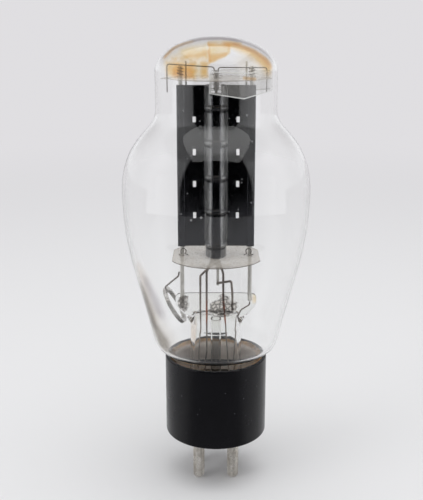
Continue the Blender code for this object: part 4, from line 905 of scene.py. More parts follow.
def between(tree, value, low, high, out_low=0.0, out_high=1.0, smooth=False):
    """the value's place between two limits, clamped"""
    node = add(tree, "MapRange", {"interpolation_type": "SMOOTHSTEP" if smooth else "LINEAR"})
    return fill_in_order(tree, node, (value, low, high, out_low, out_high)).outputs[0]


def below(tree, value, full, none, smooth=False):
    """1 up to one limit, falling to 0 at the next"""
    return between(tree, value, full, none, 1.0, 0.0, smooth)


def noise(tree, vector, scale, detail=3.0, roughness=0.55, distortion=0.0):
    return add(tree, "TexNoise", None, Vector=vector, Scale=scale, Detail=detail, Roughness=roughness,
               Distortion=distortion).outputs["Fac"]


def stretched(tree, vector, scale):
    return add(tree, "Mapping", None, Vector=vector, Scale=scale).outputs[0]


def position(tree):
    return add(tree, "TexCoord").outputs["Object"]


def group(name, inputs, outputs):
    """empty node group; an input without a default is a vector, and each output is a number"""
    tree = bpy.data.node_groups.new(name, "ShaderNodeTree")
    for label, default in inputs.items():
        kind = "Vector" if default is None else "Float"
        socket = tree.interface.new_socket(name=label, in_out="INPUT", socket_type="NodeSocket" + kind)
        if default is not None:
            socket.default_value = default
    for label in outputs:
        tree.interface.new_socket(name=label, in_out="OUTPUT", socket_type="NodeSocketFloat")
    return tree, tree.nodes.new("NodeGroupInput").outputs, tree.nodes.new("NodeGroupOutput").inputs


def use(tree, shared, **inputs):
    """outputs of a shared group placed with its own values"""
    return fill(tree, add(tree, "Group", {"node_tree": shared}), inputs).outputs


def ragged_reach(tree, reach, where, grain, swing, ragged):
    """a distance made uneven by noise; grain is the noise's scale, detail and roughness"""
    uneven = calc(tree, "SUBTRACT", noise(tree, where, *grain), 0.5)
    return calc(tree, "ADD", reach, product(tree, uneven, swing, ragged))


def group_soft_spot():
    """mask of one soft ragged patch about a point of the object"""
    inputs = {"Position": None, "Centre": None, "Spread": None, "Ragged": 0.25, "Edge": 0.5}
    tree, given, out = group("soft_spot", inputs, ["Mask"])
    away = vector_calc(tree, "SUBTRACT", given["Position"], given["Centre"])[0]
    shrunk = vector_calc(tree, "DIVIDE", away, given["Spread"])[0]
    size = vector_calc(tree, "LENGTH", shrunk)["Value"]
    reach = ragged_reach(tree, size, given["Position"], (240.0, 4.0, 0.6), 4.0, given["Ragged"])
    inner = calc(tree, "SUBTRACT", 1.0, given["Edge"])
    put(tree, out["Mask"], below(tree, reach, inner, 1.0, smooth=True))
    return tree


def group_film():
    """mask of a thin film with four straight, ragged edges on the front of the glass, and its border"""
    edges = ["Edge 1", "Edge 2", "Edge 3", "Edge 4"]
    inputs = {"Position": None, **dict.fromkeys(edges), "Soft": 0.5 * MM, "Ragged": 0.5 * MM, "Rim": 1.0 * MM}
    tree, given, out = group("crown_film", inputs, ["Mask", "Border"])
    here = axes(tree, given["Position"])
    reach = None
    for edge in edges:
        line = axes(tree, given[edge])
        along = calc(tree, "ADD", product(tree, here["X"], line["X"]), product(tree, here["Z"], line["Y"]))
        inside = calc(tree, "SUBTRACT", line["Z"], along)
        reach = inside if reach is None else calc(tree, "MINIMUM", reach, inside)
    reach = ragged_reach(tree, reach, given["Position"], (330.0, 3.0, 0.55), 3.0, given["Ragged"])
    front = below(tree, here["Y"], -4.0 * MM, -2.0 * MM)
    mask = product(tree, between(tree, reach, 0.0, given["Soft"], smooth=True), front)
    put(tree, out["Mask"], mask)
    put(tree, out["Border"], product(tree, mask, below(tree, reach, 0.0, given["Rim"])))
    return tree


def group_smear():
    """mask of one smear along the line between two points of the object, strongest on the line"""
    inputs = {"Position": None, "From": None, "To": None, "Width": 2.0 * MM, "Core": 0.2, "Ragged": 0.1}
    tree, given, out = group("smear", inputs, ["Mask"])
    away = vector_calc(tree, "SUBTRACT", given["Position"], given["From"])[0]
    line = vector_calc(tree, "SUBTRACT", given["To"], given["From"])[0]
    share = calc(tree, "DIVIDE", vector_calc(tree, "DOT_PRODUCT", away, line)["Value"],
                 vector_calc(tree, "DOT_PRODUCT", line, line)["Value"], clamp=True)
    nearest = add(tree, "VectorMath", {"operation": "SCALE"}, Scale=share)
    put(tree, nearest.inputs[0], line)
    gap = vector_calc(tree, "SUBTRACT", away, nearest.outputs[0])[0]
    reach = calc(tree, "DIVIDE", vector_calc(tree, "LENGTH", gap)["Value"], given["Width"])
    reach = ragged_reach(tree, reach, given["Position"], (230.0, 3.0, 0.55), 4.0, given["Ragged"])
    put(tree, out["Mask"], below(tree, reach, given["Core"], 1.0, smooth=True))
    return tree


def group_streaks():
    """lengthwise drawing marks and dull blotches of drawn wire and tube"""
    tree, given, out = group("drawn_streaks", {"Position": None, "Fineness": 900.0}, ["Streaks", "Blotches"])
    lengthwise = stretched(tree, given["Position"], (1.0, 1.0, 0.035))
    put(tree, out["Streaks"], noise(tree, lengthwise, given["Fineness"], 4.0, 0.6))
    blotches = noise(tree, given["Position"], 320.0, 5.0, 0.65, 0.4)
    put(tree, out["Blotches"], between(tree, blotches, 0.35, 0.68))
    return tree


def group_specks():
    """sparse specks of dust, each of its own size"""
    tree, given, out = group("dust_specks", {"Position": None, "Cells": 900.0, "Share": 0.12}, ["Mask"])
    cells = add(tree, "TexVoronoi", {"feature": "F1"}, Vector=given["Position"], Scale=given["Cells"])
    chosen = add(tree, "SeparateColor", None, Color=cells.outputs["Color"]).outputs
    kept = calc(tree, "LESS_THAN", chosen["Red"], given["Share"])
    size = between(tree, chosen["Green"], 0.0, 1.0, 0.12, 0.34)
    dot = calc(tree, "LESS_THAN", cells.outputs["Distance"], size)
    put(tree, out["Mask"], product(tree, kept, dot))
    return tree


def group_mottle():
    """two sizes of uneven tone, 0 to 1"""
    tree, given, out = group("mottle", {"Position": None, "Coarse": 120.0, "Fine": 900.0}, ["Tone", "Grain"])
    coarse = noise(tree, given["Position"], given["Coarse"], 4.0, 0.6, 0.3)
    put(tree, out["Tone"], between(tree, coarse, 0.32, 0.68))
    put(tree, out["Grain"], noise(tree, given["Position"], given["Fine"], 4.0, 0.65))
    return tree


SOFT_SPOT = group_soft_spot()
FILM = group_film()
SMEAR = group_smear()
STREAKS = group_streaks()
SPECKS = group_specks()
MOTTLE = group_mottle()


def new_material(name):
    """a material with its node tree, its shader and the place on the piece"""
    material = bpy.data.materials.new(name)
    material.use_nodes = True
    tree = material.node_tree
    return material, tree, tree.nodes["Principled BSDF"], position(tree)


def bump(tree, shader, height, strength, distance):
    node = add(tree, "Bump", None, Height=height, Strength=strength, Distance=distance)
    put(tree, shader.inputs["Normal"], node.outputs[0])


def spot(tree, where, centre, spread, ragged=0.25, edge=0.5):
    """soft patch given in millimetres"""
    return use(tree, SOFT_SPOT, Position=where, Centre=Vector(centre) * MM, Spread=Vector(spread) * MM,
               Ragged=ragged, Edge=edge)["Mask"]


def mixed_shaders(tree, factor, first, second):
    node = add(tree, "MixShader", None, Fac=factor)
    put(tree, node.inputs[1], first.outputs[0])
    put(tree, node.inputs[2], second.outputs[0])
    return node


def show(tree, surface):
    put(tree, tree.nodes["Material Output"].inputs["Surface"], surface.outputs[0])


def clear_to_soft_light(tree, shader, tint, last_turn):
    """lets soft light pass through glass, and rays that were trapped in it for too many turns"""
    path = add(tree, "LightPath").outputs
    soft = calc(tree, "MAXIMUM", path["Is Shadow Ray"], path["Is Diffuse Ray"])
    soft = calc(tree, "MAXIMUM", soft, calc(tree, "GREATER_THAN", path["Ray Depth"], last_turn))
    show(tree, mixed_shaders(tree, soft, shader, add(tree, "BsdfTransparent", None, Color=tint)))


def film_edges(corners):
    """the four edges of an outline given by X and Z in millimetres: direction outward, and reach"""
    points = [Vector(corner) for corner in corners]
    middle = sum(points, Vector((0.0, 0.0))) / len(points)
    edges = {}
    for i, (one, two) in enumerate(zip(points, points[1:] + points[:1])):
        along = (two - one).normalized()
        outward = Vector((along.y, -along.x))
        if outward.dot(middle - one) > 0:
            outward = -outward
        edges["Edge_%d" % (i + 1)] = Vector((outward.x, outward.y, outward.dot(one) * MM))
    return edges


def with_film(tree, where, colour, corners, soft, ragged, strength, tone, border_tone):
    """colour seen through one film in the crown"""
    film = use(tree, FILM, Position=where, Soft=soft * MM, Ragged=ragged * MM, Rim=FILM_RIM,
               **film_edges(corners))
    thickness = noise(tree, stretched(tree, where, (0.6, 1.0, 1.6)), 330.0, 4.0, 0.6)
    uneven = between(tree, thickness, 0.3, 0.6, 0.6, 1.0)
    colour = painted(tree, colour, product(tree, film["Mask"], uneven), strength, tone, "MULTIPLY")
    return painted(tree, colour, film["Border"], strength, border_tone, "MULTIPLY")


def with_smear(tree, where, colour, points, width, core, ragged, strength, tone):
    """colour seen through one smear that follows a line of points in millimetres"""
    mask = None
    for one, two in zip(points, points[1:]):
        part = use(tree, SMEAR, Position=where, From=Vector(one) * MM, To=Vector(two) * MM,
                   Width=width * MM, Core=core, Ragged=ragged)["Mask"]
        mask = part if mask is None else calc(tree, "MAXIMUM", mask, part)
    return painted(tree, colour, mask, strength, tone, "MULTIPLY")


AMBER, ORANGE, PALE_AMBER = (0.92, 0.66, 0.30), (0.80, 0.47, 0.17), (0.96, 0.82, 0.55)
CREAM, BEIGE, MAUVE = (0.97, 0.925, 0.81), (0.95, 0.905, 0.82), (0.58, 0.54, 0.55)
FLASH_GREY, FLASH_BROWN = (0.63, 0.605, 0.62), (0.42, 0.395, 0.36)
FLASH_BEIGE, FLASH_VEIL = (0.88, 0.83, 0.77), (0.84, 0.81, 0.765)
FILM_RIM = 1.1 * MM

# corners by X and Z in millimetres, softness and raggedness in millimetres, strength, tone, border's tone
CROWN_FILMS = (
    (((-2.8, 149.4), (4.3, 149.1), (4.4, 146.2), (-2.5, 143.0)), 0.7, 0.3, 1.0, PALE_AMBER, AMBER),
    (((-3.0, 149.9), (8.2, 149.9), (8.0, 148.3), (-3.0, 147.9)), 0.9, 0.35, 1.0, AMBER, PALE_AMBER),
    (((-2.6, 146.3), (3.9, 147.0), (3.0, 145.2), (-2.3, 143.4)), 0.9, 0.35, 0.9, AMBER, PALE_AMBER),
    (((-12.5, 148.3), (-1.9, 150.0), (-1.6, 143.9), (-11.0, 143.9)), 2.2, 0.8, 1.0, PALE_AMBER, PALE_AMBER),
    (((-14.6, 145.6), (-1.7, 148.2), (-1.7, 144.2), (-14.0, 142.9)), 2.4, 0.9, 1.0, AMBER, PALE_AMBER),
    (((-16.2, 144.6), (-5.0, 145.0), (-5.6, 138.0), (-15.6, 139.0)), 1.9, 0.8, 1.0, AMBER, PALE_AMBER),
    (((-8.4, 144.8), (-1.6, 144.8), (-2.0, 138.9), (-8.4, 138.9)), 1.6, 0.6, 0.9, PALE_AMBER, AMBER),
    (((-5.2, 144.4), (-1.8, 144.4), (-2.2, 139.2), (-4.9, 139.2)), 1.3, 0.4, 0.8, AMBER, PALE_AMBER))

# points in millimetres, width in millimetres, share of the width at full strength, raggedness, strength, tone
CROWN_SMEARS = (
    (((5.9, -10.6, 149.1), (10.2, -10.9, 147.6), (13.9, -10.6, 145.5), (16.4, -9.7, 143.1)),
     2.2, 0.1, 0.15, 0.7, ORANGE),
    (((4.5, -11.4, 149.0), (10.2, -12.4, 146.9), (13.9, -12.0, 144.3), (15.6, -11.0, 142.4)),
     4.2, 0.1, 0.18, 0.9, AMBER),
    (((7.5, -15.2, 142.6), (14.5, -11.6, 141.4)), 4.6, 0.1, 0.2, 0.9, BEIGE),
    (((-13.5, -12.0, 144.6), (-3.0, -14.5, 146.0)), 6.5, 0.2, 0.1, 0.9, CREAM),
    (((-12.3, -15.2, 141.6), (-8.6, -17.0, 141.8)), 2.6, 0.1, 0.25, 0.8, AMBER),
    (((-15.5, -7.6, 145.7), (-12.5, -5.4, 148.4), (-8.1, -6.6, 149.7)), 2.0, 0.25, 0.12, 0.95, ORANGE),
    (((-6.3, -4.9, 150.5), (-0.4, -5.7, 150.9), (6.0, -6.0, 150.3)), 2.3, 0.2, 0.1, 0.95, MAUVE),
    (((-12.6, -15.0, 140.2), (-7.9, -18.0, 140.0)), 1.7, 0.1, 0.3, 0.55, ORANGE),
    (((8.2, -17.8, 139.4), (11.6, -15.9, 138.9)), 0.9, 0.2, 0.25, 0.9, ORANGE))
GETTER_FLASH = (
    (((-24.6, -12.8, 76.7), (-24.1, -11.7, 72.9), (-22.2, -9.6, 62.9)), 7.5, 0.1, 0.03, 0.95, FLASH_BEIGE),
    (((-22.6, -15.5, 74.6), (-21.3, -16.0, 71.9), (-20.1, -16.3, 69.3), (-18.8, -16.3, 65.5)),
     4.8, 0.05, 0.03, 0.95, FLASH_GREY),
    (((-23.9, -9.8, 69.5), (-22.4, -9.6, 62.9), (-21.3, -9.5, 59.4), (-19.9, -10.8, 56.7),
      (-17.6, -12.7, 53.4)), 5.8, 0.25, 0.03, 1.0, FLASH_BROWN),
    (((-24.0, -9.4, 66.5), (-21.5, -9.4, 59.0)), 4.6, 0.2, 0.03, 0.8, FLASH_BROWN),
    (((-21.0, -11.5, 60.0), (-18.5, -13.5, 55.0)), 11.0, 0.1, 0.03, 0.95, FLASH_VEIL))

BULB_IOR, STEM_IOR = 1.5, 1.24
BULB_LAST_TURN, STEM_LAST_TURN = 20.5, 5.5


def make_bulb_glass():
    """clear glass with the amber films in the crown and the grey and beige flash by the getter"""
    material, tree, shader, where = new_material("bulb_glass")
    colour = (0.988, 0.99, 0.988)
    for film in CROWN_FILMS:
        colour = with_film(tree, where, colour, *film)
    for smear in CROWN_SMEARS + GETTER_FLASH:
        colour = with_smear(tree, where, colour, *smear)
    fill(tree, shader, {"Base_Color": colour, "Transmission_Weight": 1.0, "IOR": BULB_IOR, "Metallic": 0.0,
                        "Roughness": 0.0})
    ripples = noise(tree, stretched(tree, where, (1.0, 1.0, 0.5)), 55.0, 2.0, 0.4)
    bump(tree, shader, ripples, 0.08, 0.5 * MM)
    clear_to_soft_light(tree, shader, (0.93, 0.935, 0.93), BULB_LAST_TURN)
    return material


def make_stem_glass():
    """clear glass, warm at the neck, with the crumpled dark seals round the wires in the press"""
    material, tree, shader, where = new_material("stem_glass")
    tint = spot(tree, where, (0, 0, 62), (16, 6, 9), 0.15, 0.6)
    colour = blend(tree, tint, (0.98, 0.985, 0.98), (0.93, 0.93, 0.90))
    for centre, spread, strength, tone in (
            ((-8.0, -2, 53), (1.8, 8, 7), 0.45, (0.76, 0.56, 0.38)),
            ((13.0, 0, 64.6), (1.8, 3, 2.2), 0.8, (0.92, 0.74, 0.45))):
        warm = spot(tree, where, centre, spread, 0.2, 0.6)
        colour = painted(tree, colour, warm, strength, tone, "MULTIPLY")
    crumple = add(tree, "TexVoronoi", {"feature": "DISTANCE_TO_EDGE"}, Vector=where, Scale=760.0)
    folds = between(tree, crumple.outputs["Distance"], 0.02, 0.3)
    creased = blend(tree, folds, (0.05, 0.045, 0.04), (0.46, 0.42, 0.39))
    sealed = calc(tree, "MAXIMUM", spot(tree, where, (2.2, -1.6, 62.4), (5.4, 1.6, 4.8), 0.3, 0.2),
                  spot(tree, where, (-11.2, -1.6, 62.8), (2.7, 1.4, 3.4), 0.35, 0.25))
    colour = blend(tree, sealed, colour, creased, "MULTIPLY")
    fill(tree, shader, {"Base_Color": colour, "Transmission_Weight": 1.0, "IOR": STEM_IOR, "Metallic": 0.0,
                        "Roughness": 0.0})
    height = calc(tree, "ADD", noise(tree, where, 160.0, 2.0, 0.5), product(tree, folds, sealed, 1.5))
    bump(tree, shader, height, 0.25, 0.6 * MM)
    clear_to_soft_light(tree, shader, (0.965, 0.965, 0.96), STEM_LAST_TURN)
    return material


def make_black_base():
    """black moulding with a soft polish, fine handling scratches and a little dust"""
    material, tree, shader, where = new_material("black_base")
    mottle = use(tree, MOTTLE, Position=where, Coarse=90.0, Fine=1500.0)
    dust = use(tree, SPECKS, Position=where, Cells=1300.0, Share=0.02)["Mask"]
    colour = blend(tree, mottle["Tone"], (0.0016, 0.0016, 0.0026), (0.0034, 0.0032, 0.0052))
    worn = between(tree, noise(tree, where, 700.0, 5.0, 0.7), 0.62, 0.74)
    rim = spot(tree, where, (0, 0, 45.2), (40, 40, 1.3), 0.1, 0.5)
    colour = painted(tree, colour, product(tree, worn, rim), 0.5, (0.06, 0.055, 0.05))
    colour = painted(tree, colour, dust, 0.3, (0.16, 0.16, 0.18))
    polish = between(tree, mottle["Tone"], 0.0, 1.0, 0.2, 0.3)
    fill(tree, shader, {"Base_Color": colour, "Roughness": polish, "Specular_IOR_Level": 0.22})
    scuff = noise(tree, stretched(tree, where, (1.0, 1.0, 0.12)), 1400.0, 3.0, 0.6)
    bump(tree, shader, calc(tree, "ADD", scuff, mottle["Grain"]), 0.1, 0.2 * MM)
    return material


def make_cement_paste():
    """pinkish where it lies against the glass, painted paler there to stand in for light that the glass keeps
    from it; orange-brown with two dark patches on its open rim
    """
    material, tree, shader, where = new_material("cement")
    mottle = use(tree, MOTTLE, Position=where, Coarse=260.0, Fine=1600.0)
    radius = vector_calc(tree, "LENGTH", stretched(tree, where, (1.0, 1.0, 0.0)))["Value"]
    open_rim = between(tree, radius, NECK_R + 0.2 * MM, NECK_R + 0.6 * MM)
    # painted light: the pinkish paste against the glass is given a paler colour than it has, to make up for
    # light that the glass keeps from it
    inner = blend(tree, mottle["Tone"], (0.80, 0.68, 0.62), (0.95, 0.84, 0.78))
    outer = blend(tree, mottle["Tone"], (0.20, 0.10, 0.04), (0.62, 0.36, 0.15))
    # two darker patches on the open rim
    rim_dark_patches = calc(tree, "MAXIMUM", spot(tree, where, (-15, -5, 44.3), (5, 8, 2.2), 0.35),
                spot(tree, where, (2, -16, 44.3), (5, 4, 2.2), 0.4))
    colour = painted(tree, blend(tree, open_rim, inner, outer), rim_dark_patches, 0.85, (0.03, 0.02, 0.015))
    fill(tree, shader, {"Base_Color": colour, "Roughness": 0.85})
    bump(tree, shader, calc(tree, "ADD", mottle["Grain"], mottle["Tone"]), 0.6, 0.5 * MM)
    return material


def make_metal(name, colour, dull, roughness, fineness=900.0, tinted_patch=None, metallic=0.7):
    """drawn metal: bright and dull blotches, lengthwise marks, and a darker or tinted patch toward one point
    if given
    """
    material, tree, shader, where = new_material(name)
    marks = use(tree, STREAKS, Position=where, Fineness=fineness)
    tone = blend(tree, marks["Blotches"], colour, dull)
    tone = blend(tree, between(tree, marks["Streaks"], 0.45, 0.75), tone, tuple(c * 0.7 for c in dull))
    if tinted_patch:
        centre, spread, patch_colour = tinted_patch
        tone = blend(tree, spot(tree, where, centre, spread, 0.2, 0.7), tone, patch_colour)
    rough = calc(tree, "ADD", product(tree, marks["Blotches"], 0.14), roughness)
    fill(tree, shader, {"Base_Color": tone, "Metallic": metallic, "Roughness": rough})
    bump(tree, shader, marks["Streaks"], 0.25, 0.08 * MM)
    return material


def make_plate_black():
    """carbonised plate: dark satin metal with a painted highlight down the column's flanks and painted shade
    under each ring, and fine pale dust"""
    material, tree, shader, where = new_material("plate_black")
    here = axes(tree, where)
    mottle = use(tree, MOTTLE, Position=where, Coarse=130.0, Fine=2400.0)
    fine_dust = use(tree, SPECKS, Position=where, Cells=950.0, Share=0.06)["Mask"]
    lint = use(tree, SPECKS, Position=where, Cells=600.0, Share=0.03)["Mask"]
    lengthwise = noise(tree, stretched(tree, where, (1.0, 1.0, 0.2)), 900.0, 4.0, 0.7)
    rubbed = between(tree, lengthwise, 0.6, 0.8)
    side = calc(tree, "ABSOLUTE", here["X"])
    ring = calc(tree, "DIVIDE", calc(tree, "SUBTRACT", here["Z"], FIRST_RING_Z - 1.25 * MM), RING_PITCH)
    off_line = calc(tree, "ABSOLUTE", calc(tree, "SUBTRACT", ring, calc(tree, "ROUND", ring)))
    # painted shade: a dark line just under each ring, where the crease below the bead lies in shade
    painted_shade_under_ring = product(tree, below(tree, off_line, 0.02, 0.05), below(tree, side, 4.0 * MM, 4.3 * MM))
    flank = product(tree, between(tree, side, 1.2 * MM, 1.8 * MM), below(tree, side, 3.6 * MM, 4.1 * MM))
    # painted highlight: a lighter, less metallic streaky band down each flank of the column stands in for the
    # bright studio reflected there
    painted_flank_highlight = product(tree, flank, between(tree, lengthwise, 0.36, 0.6, 0.35, 1.0))
    dust = calc(tree, "MAXIMUM", product(tree, fine_dust, 0.6), product(tree, lint, 0.8))
    colour = blend(tree, mottle["Tone"], (0.058, 0.059, 0.065), (0.090, 0.091, 0.100))
    colour = blend(tree, painted_flank_highlight, colour, (0.32, 0.32, 0.32))
    colour = painted(tree, colour, painted_shade_under_ring, 0.85, (0.012, 0.012, 0.014))
    colour = painted(tree, colour, rubbed, 0.35, (0.2, 0.2, 0.2))
    colour = blend(tree, dust, colour, (0.45, 0.45, 0.46))
    bare = calc(tree, "SUBTRACT", 1.0, product(tree, painted_flank_highlight, 0.55))
    metallic = product(tree, bare, calc(tree, "SUBTRACT", 1.0, dust))
    satin = between(tree, mottle["Tone"], 0.0, 1.0, 0.09, 0.16)
    rough = calc(tree, "ADD", satin, product(tree, flank, 0.24))
    fill(tree, shader, {"Base_Color": colour, "Metallic": metallic, "Roughness": rough})
    bump(tree, shader, calc(tree, "ADD", mottle["Grain"], rubbed), 0.12, 0.1 * MM)
    return material


def make_mica():
    """lower and upper mica: layered, stained, dark at the cut edge and partly see-through"""
    material, tree, shader, where = new_material("mica")
    here = axes(tree, where)
    upright = axes(tree, add(tree, "NewGeometry").outputs["True Normal"])["Z"]
    cut = below(tree, calc(tree, "ABSOLUTE", upright), 0.4, 0.6)
    cut_edge = product(tree, cut, between(tree, here["Z"], 100.0 * MM, 120.0 * MM, 0.85, 0.35))
    front_stain = product(tree, below(tree, here["Y"], -15.8 * MM, -11.5 * MM, smooth=True),
                          between(tree, noise(tree, where, 420.0, 4.0, 0.7), 0.38, 0.58))
    mottle = use(tree, MOTTLE, Position=where, Coarse=300.0, Fine=2600.0)
    flecks = between(tree, noise(tree, where, 1500.0, 4.0, 0.75), 0.53, 0.64)
    colour = blend(tree, mottle["Tone"], (0.88, 0.84, 0.78), (0.70, 0.64, 0.57))
    colour = painted(tree, colour, flecks, 0.75, (0.10, 0.075, 0.055))
    colour = painted(tree, colour, front_stain, 0.75, (0.33, 0.28, 0.23))
    colour = blend(tree, cut_edge, colour, (0.09, 0.075, 0.06))
    opaque = calc(tree, "MAXIMUM", calc(tree, "MAXIMUM", cut_edge, product(tree, flecks, 0.9)),
                  between(tree, mottle["Tone"], 0.0, 1.0, 0.40, 0.66))
    rough = between(tree, mottle["Grain"], 0.3, 0.7, 0.12, 0.3)
    fill(tree, shader, {"Base_Color": colour, "Alpha": opaque, "Roughness": rough})
    bump(tree, shader, mottle["Grain"], 0.2, 0.1 * MM)
    return material


def make_clear_mica():
    """bumper strips: nearly clear, with a pale cut edge"""
    material, tree, shader, where = new_material("bumper_mica")
    here = axes(tree, where)
    lower_edge = calc(tree, "ADD",
                      between(tree, here["X"], BUMPER_INNER.x, BUMPER_FOLD.x, BUMPER_INNER.z, BUMPER_FOLD.z),
                      between(tree, here["X"], BUMPER_FOLD.x, BUMPER_OUTER.x,
                              0.0, BUMPER_OUTER.z - BUMPER_FOLD.z))
    rise = calc(tree, "SUBTRACT", here["Z"], lower_edge)
    drop = calc(tree, "SUBTRACT", BUMPER_TOP_Z, here["Z"])
    near = calc(tree, "MINIMUM", rise, drop)
    near = calc(tree, "MINIMUM", near, calc(tree, "SUBTRACT", here["X"], BUMPER_INNER.x))
    edge = below(tree, near, 0.22 * MM, 0.5 * MM, smooth=True)
    mottle = use(tree, MOTTLE, Position=where, Coarse=160.0, Fine=1800.0)
    colour = blend(tree, mottle["Tone"], (0.66, 0.65, 0.64), (0.55, 0.53, 0.50))
    colour = blend(tree, edge, colour, (0.93, 0.93, 0.92))
    haze = between(tree, mottle["Tone"], 0.0, 1.0, 0.10, 0.17)
    opaque = calc(tree, "MAXIMUM", haze, product(tree, edge, 0.62))
    fill(tree, shader, {"Base_Color": colour, "Alpha": opaque, "Roughness": 0.12})
    bump(tree, shader, mottle["Grain"], 0.08, 0.1 * MM)
    return material


def make_oxide():
    """chalky white coating of the filament"""
    material, tree, shader, where = new_material("filament_oxide")
    mottle = use(tree, MOTTLE, Position=where, Coarse=500.0, Fine=3000.0)
    colour = blend(tree, mottle["Tone"], (0.62, 0.60, 0.55), (0.8, 0.79, 0.76))
    fill(tree, shader, {"Base_Color": colour, "Roughness": 0.85})
    bump(tree, shader, mottle["Grain"], 0.5, 0.1 * MM)
    return material


def make_materials():
    """every finish of the tube, by the name of what wears it"""
    steel, dull_steel = (0.42, 0.395, 0.37), (0.22, 0.20, 0.18)
    # the pins' colour darkens towards their tips
    darker_toward_tips = ((0, 0, 0), (6.0, 9.0, 9.0), (0.05, 0.042, 0.036))
    blued_feet = ((0, 0, 58.5), (20, 6, 8.5), (0.10, 0.11, 0.15))
    reddened_in_seal = ((0, 0, 60), (8, 3, 6.5), (0.42, 0.12, 0.045))
    return {
        "bulb": make_bulb_glass(),
        "stem": make_stem_glass(),
        "base": make_black_base(),
        "cement": make_cement_paste(),
        "pins": make_metal("pin_nickel", (0.90, 0.87, 0.81), (0.46, 0.42, 0.36), 0.24, 700.0, darker_toward_tips),
        "plate": make_plate_black(),
        "mica": make_mica(),
        "clear_mica": make_clear_mica(),
        "rods": make_metal("rod_nickel", (0.86, 0.84, 0.80), (0.66, 0.64, 0.60), 0.3, 1200.0, blued_feet,
                           metallic=0.5),
        "spring": make_metal("spring_wire", steel, dull_steel, 0.3, 1600.0),
        "grid": make_metal("grid_wire", (0.3, 0.28, 0.26), (0.18, 0.165, 0.15), 0.3, 1600.0),
        "filament": make_oxide(),
        "lead": make_metal("lead_wire", (0.42, 0.37, 0.33), (0.20, 0.17, 0.15), 0.3, 1400.0),
        "red_lead": make_metal("sealed_lead_wire", (0.34, 0.30, 0.27), (0.15, 0.125, 0.11), 0.3, 1400.0,
                               reddened_in_seal),
        "getter": make_metal("getter_steel", (0.80, 0.785, 0.76), (0.50, 0.48, 0.45), 0.2, 900.0),
    }


STUDIO_TONE = (0.745, 0.735, 0.755)
FLOOR_EDGE_R = 0.41
FLOOR_HALF_WIDTH, FLOOR_DEPTH = 5.0, 6.0
CAMERA_PLACE = (-0.0015, -0.270, 0.154)
CAMERA_PITCH = 15.01
CAMERA_LENS = 59.83


def turn_from_front(tree, here):
    """angle about Z between a direction and the camera's side, in radians"""
    return calc(tree, "ABSOLUTE", calc(tree, "ARCTAN2", here["X"], product(tree, here["Y"], -1.0)))


def seen_in_shine(tree, path):
    """1 for rays that a shiny piece has thrown back and that passed little glass"""
    return product(tree, calc(tree, "GREATER_THAN", path["Glossy Depth"], 0.5),
                   calc(tree, "LESS_THAN", path["Transmission Depth"], 5.5))


def make_world():
    """pale studio round the tube, with the dark room behind the camera seen only in reflections"""
    world = bpy.data.worlds.new("studio")
    bpy.context.scene.world = world
    world.use_nodes = True
    tree = world.node_tree
    here = axes(tree, add(tree, "TexCoord").outputs["Generated"])
    side = turn_from_front(tree, here)
    opening = product(tree, below(tree, side, 0.735, 0.80, smooth=True),
                      below(tree, here["Z"], 0.84, 0.90, smooth=True))
    boxes = blend(tree, between(tree, side, 0.8, 1.4), (0.80, 0.80, 0.82), (1.35, 1.35, 1.38))
    boxes = blend(tree, between(tree, side, 1.5, 1.95, smooth=True), boxes, (0.88, 0.88, 0.90))
    behind_above = product(tree, between(tree, side, 1.9, 2.5, smooth=True),
                           between(tree, here["Z"], 0.10, 0.40, smooth=True))
    boxes = blend(tree, behind_above, boxes, (0.46, 0.44, 0.45))
    boxes = blend(tree, between(tree, here["Z"], 0.62, 0.74, smooth=True), boxes, (0.60, 0.60, 0.61))
    path = add(tree, "LightPath").outputs
    reflected = blend(tree, opening, boxes, (0.001, 0.001, 0.0015))
    soft_light = blend(tree, path["Is Diffuse Ray"], STUDIO_TONE, (0.60, 0.60, 0.61))
    colour = blend(tree, seen_in_shine(tree, path), soft_light, reflected)
    fill(tree, tree.nodes["Background"], {"Color": colour, "Strength": 1.0})


def make_floor_paint():
    """pale sheet that fades into the studio, and that shiny pieces reflect darker in front"""
    material, tree, shader, where = new_material("pale_floor")
    grain = noise(tree, where, 45.0, 3.0, 0.6)
    colour = blend(tree, product(tree, grain, 0.04), (0.80, 0.80, 0.805), (0.72, 0.72, 0.73))
    fill(tree, shader, {"Base_Color": colour, "Roughness": 0.9, "Specular_IOR_Level": 0.0})
    away = vector_calc(tree, "LENGTH", where)["Value"]
    side = turn_from_front(tree, axes(tree, where))
    fade = blend_value(tree, below(tree, side, 1.6, 2.3, smooth=True),
                       between(tree, away, 0.12, 0.9, smooth=True),
                       between(tree, away, 0.15, 0.40, smooth=True))
    path = add(tree, "LightPath").outputs
    seen = calc(tree, "MAXIMUM", path["Is Camera Ray"], path["Is Glossy Ray"])
    seen = calc(tree, "MAXIMUM", seen, path["Is Transmission Ray"])
    studio = add(tree, "Emission", None, Color=STUDIO_TONE, Strength=1.0)
    shade = add(tree, "Emission", None, Color=(0.34, 0.34, 0.35), Strength=1.0)
    faded = mixed_shaders(tree, product(tree, fade, seen), shader, studio)
    shaded = product(tree, seen_in_shine(tree, path), below(tree, side, 0.75, 1.25, smooth=True))
    show(tree, mixed_shaders(tree, shaded, faded, shade))
    return material


def make_floor():
    """sheet with a round front edge under the camera, reaching far behind the tube"""
    bm = bmesh.new()
    corners = [(FLOOR_HALF_WIDTH, 0.0), (FLOOR_HALF_WIDTH, FLOOR_DEPTH), (-FLOOR_HALF_WIDTH, FLOOR_DEPTH),
               (-FLOOR_HALF_WIDTH, 0.0)]
    corners += arc((0.0, 0.0), (FLOOR_EDGE_R, FLOOR_EDGE_R), 180, 360, 48)
    bm.faces.new([bm.verts.new((x, y, 0.0)) for x, y in corners])
    mesh = bpy.data.meshes.new("floor")
    bm.to_mesh(mesh)
    bm.free()
    mesh.materials.append(make_floor_paint())
    floor = bpy.data.objects.new("floor", mesh)
    bpy.context.scene.collection.objects.link(floor)


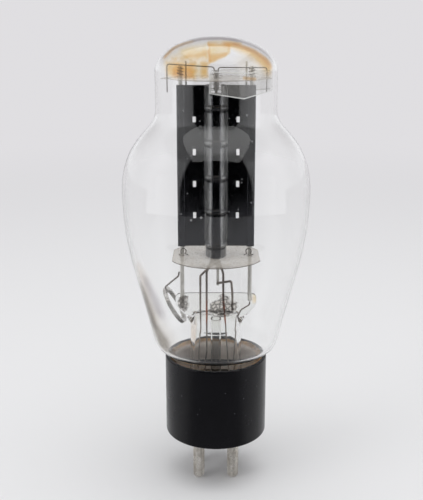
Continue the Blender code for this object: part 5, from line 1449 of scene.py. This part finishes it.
def add_lamp(name, place, target, size, radiance, seen_in_reflections):
    """soft box of a given brightness that points at a place"""
    lamp = bpy.data.lights.new(name, "AREA")
    lamp.shape = "RECTANGLE"
    lamp.size, lamp.size_y = size
    lamp.energy = radiance * math.pi * size[0] * size[1]
    holder = bpy.data.objects.new(name, lamp)
    holder.location = place
    holder.rotation_euler = (Vector(target) - Vector(place)).to_track_quat("-Z", "Y").to_euler()
    holder.visible_glossy = seen_in_reflections
    holder.visible_transmission = False
    bpy.context.scene.collection.objects.link(holder)
    return holder


def make_lamps():
    """two soft boxes that light the tube, and a panel above that only shiny pieces see"""
    add_lamp("overhead_box", (0.1, -0.1, 1.0), (0, 0, 0.05), (0.9, 0.9), 1.85, False)
    add_lamp("left_box", (-0.9, -0.5, 0.6), (0, 0, 0.08), (0.6, 0.8), 1.5, False)
    ceiling = add_lamp("ceiling_panel", (0.01, -0.08, 0.92), (0.01, -0.08, 0), (0.97, 1.2), 1.5, True)
    ceiling.visible_diffuse = False


def make_camera():
    """camera a little above the tube's crown, looking down at it"""
    camera = bpy.data.cameras.new("camera")
    camera.lens = CAMERA_LENS
    camera.sensor_width = 36.0
    camera.clip_start = 0.01
    holder = bpy.data.objects.new("camera", camera)
    holder.location = CAMERA_PLACE
    holder.rotation_euler = (math.radians(90 - CAMERA_PITCH), 0.0, 0.0)
    bpy.context.scene.collection.objects.link(holder)
    bpy.context.scene.camera = holder
    bpy.context.scene.view_settings.view_transform = "Standard"


def build():
    """every piece of the tube, each with its finish"""
    looks = make_materials()
    make_bulb(looks["bulb"])
    make_stem(looks["stem"])
    make_exhaust_tube(looks["stem"])
    make_base(looks["base"])
    make_pins(looks["pins"])
    make_cement(looks["cement"])
    make_anode_half("stamped_plate_front", "anode_front", 1, looks["plate"])
    make_anode_half("stamped_plate_rear", "anode_rear", -1, looks["plate"])
    make_rods(looks["rods"], looks["spring"])
    make_micas(looks["mica"], looks["clear_mica"])
    make_grid(looks["grid"])
    make_filament(looks["filament"])
    make_springs(looks["spring"])
    make_centre_hold(looks["spring"], looks["rods"])
    make_leads(looks["lead"], looks["red_lead"])
    make_getter(looks["getter"], looks["spring"])


build()
make_world()
make_floor()
make_lamps()
make_camera()
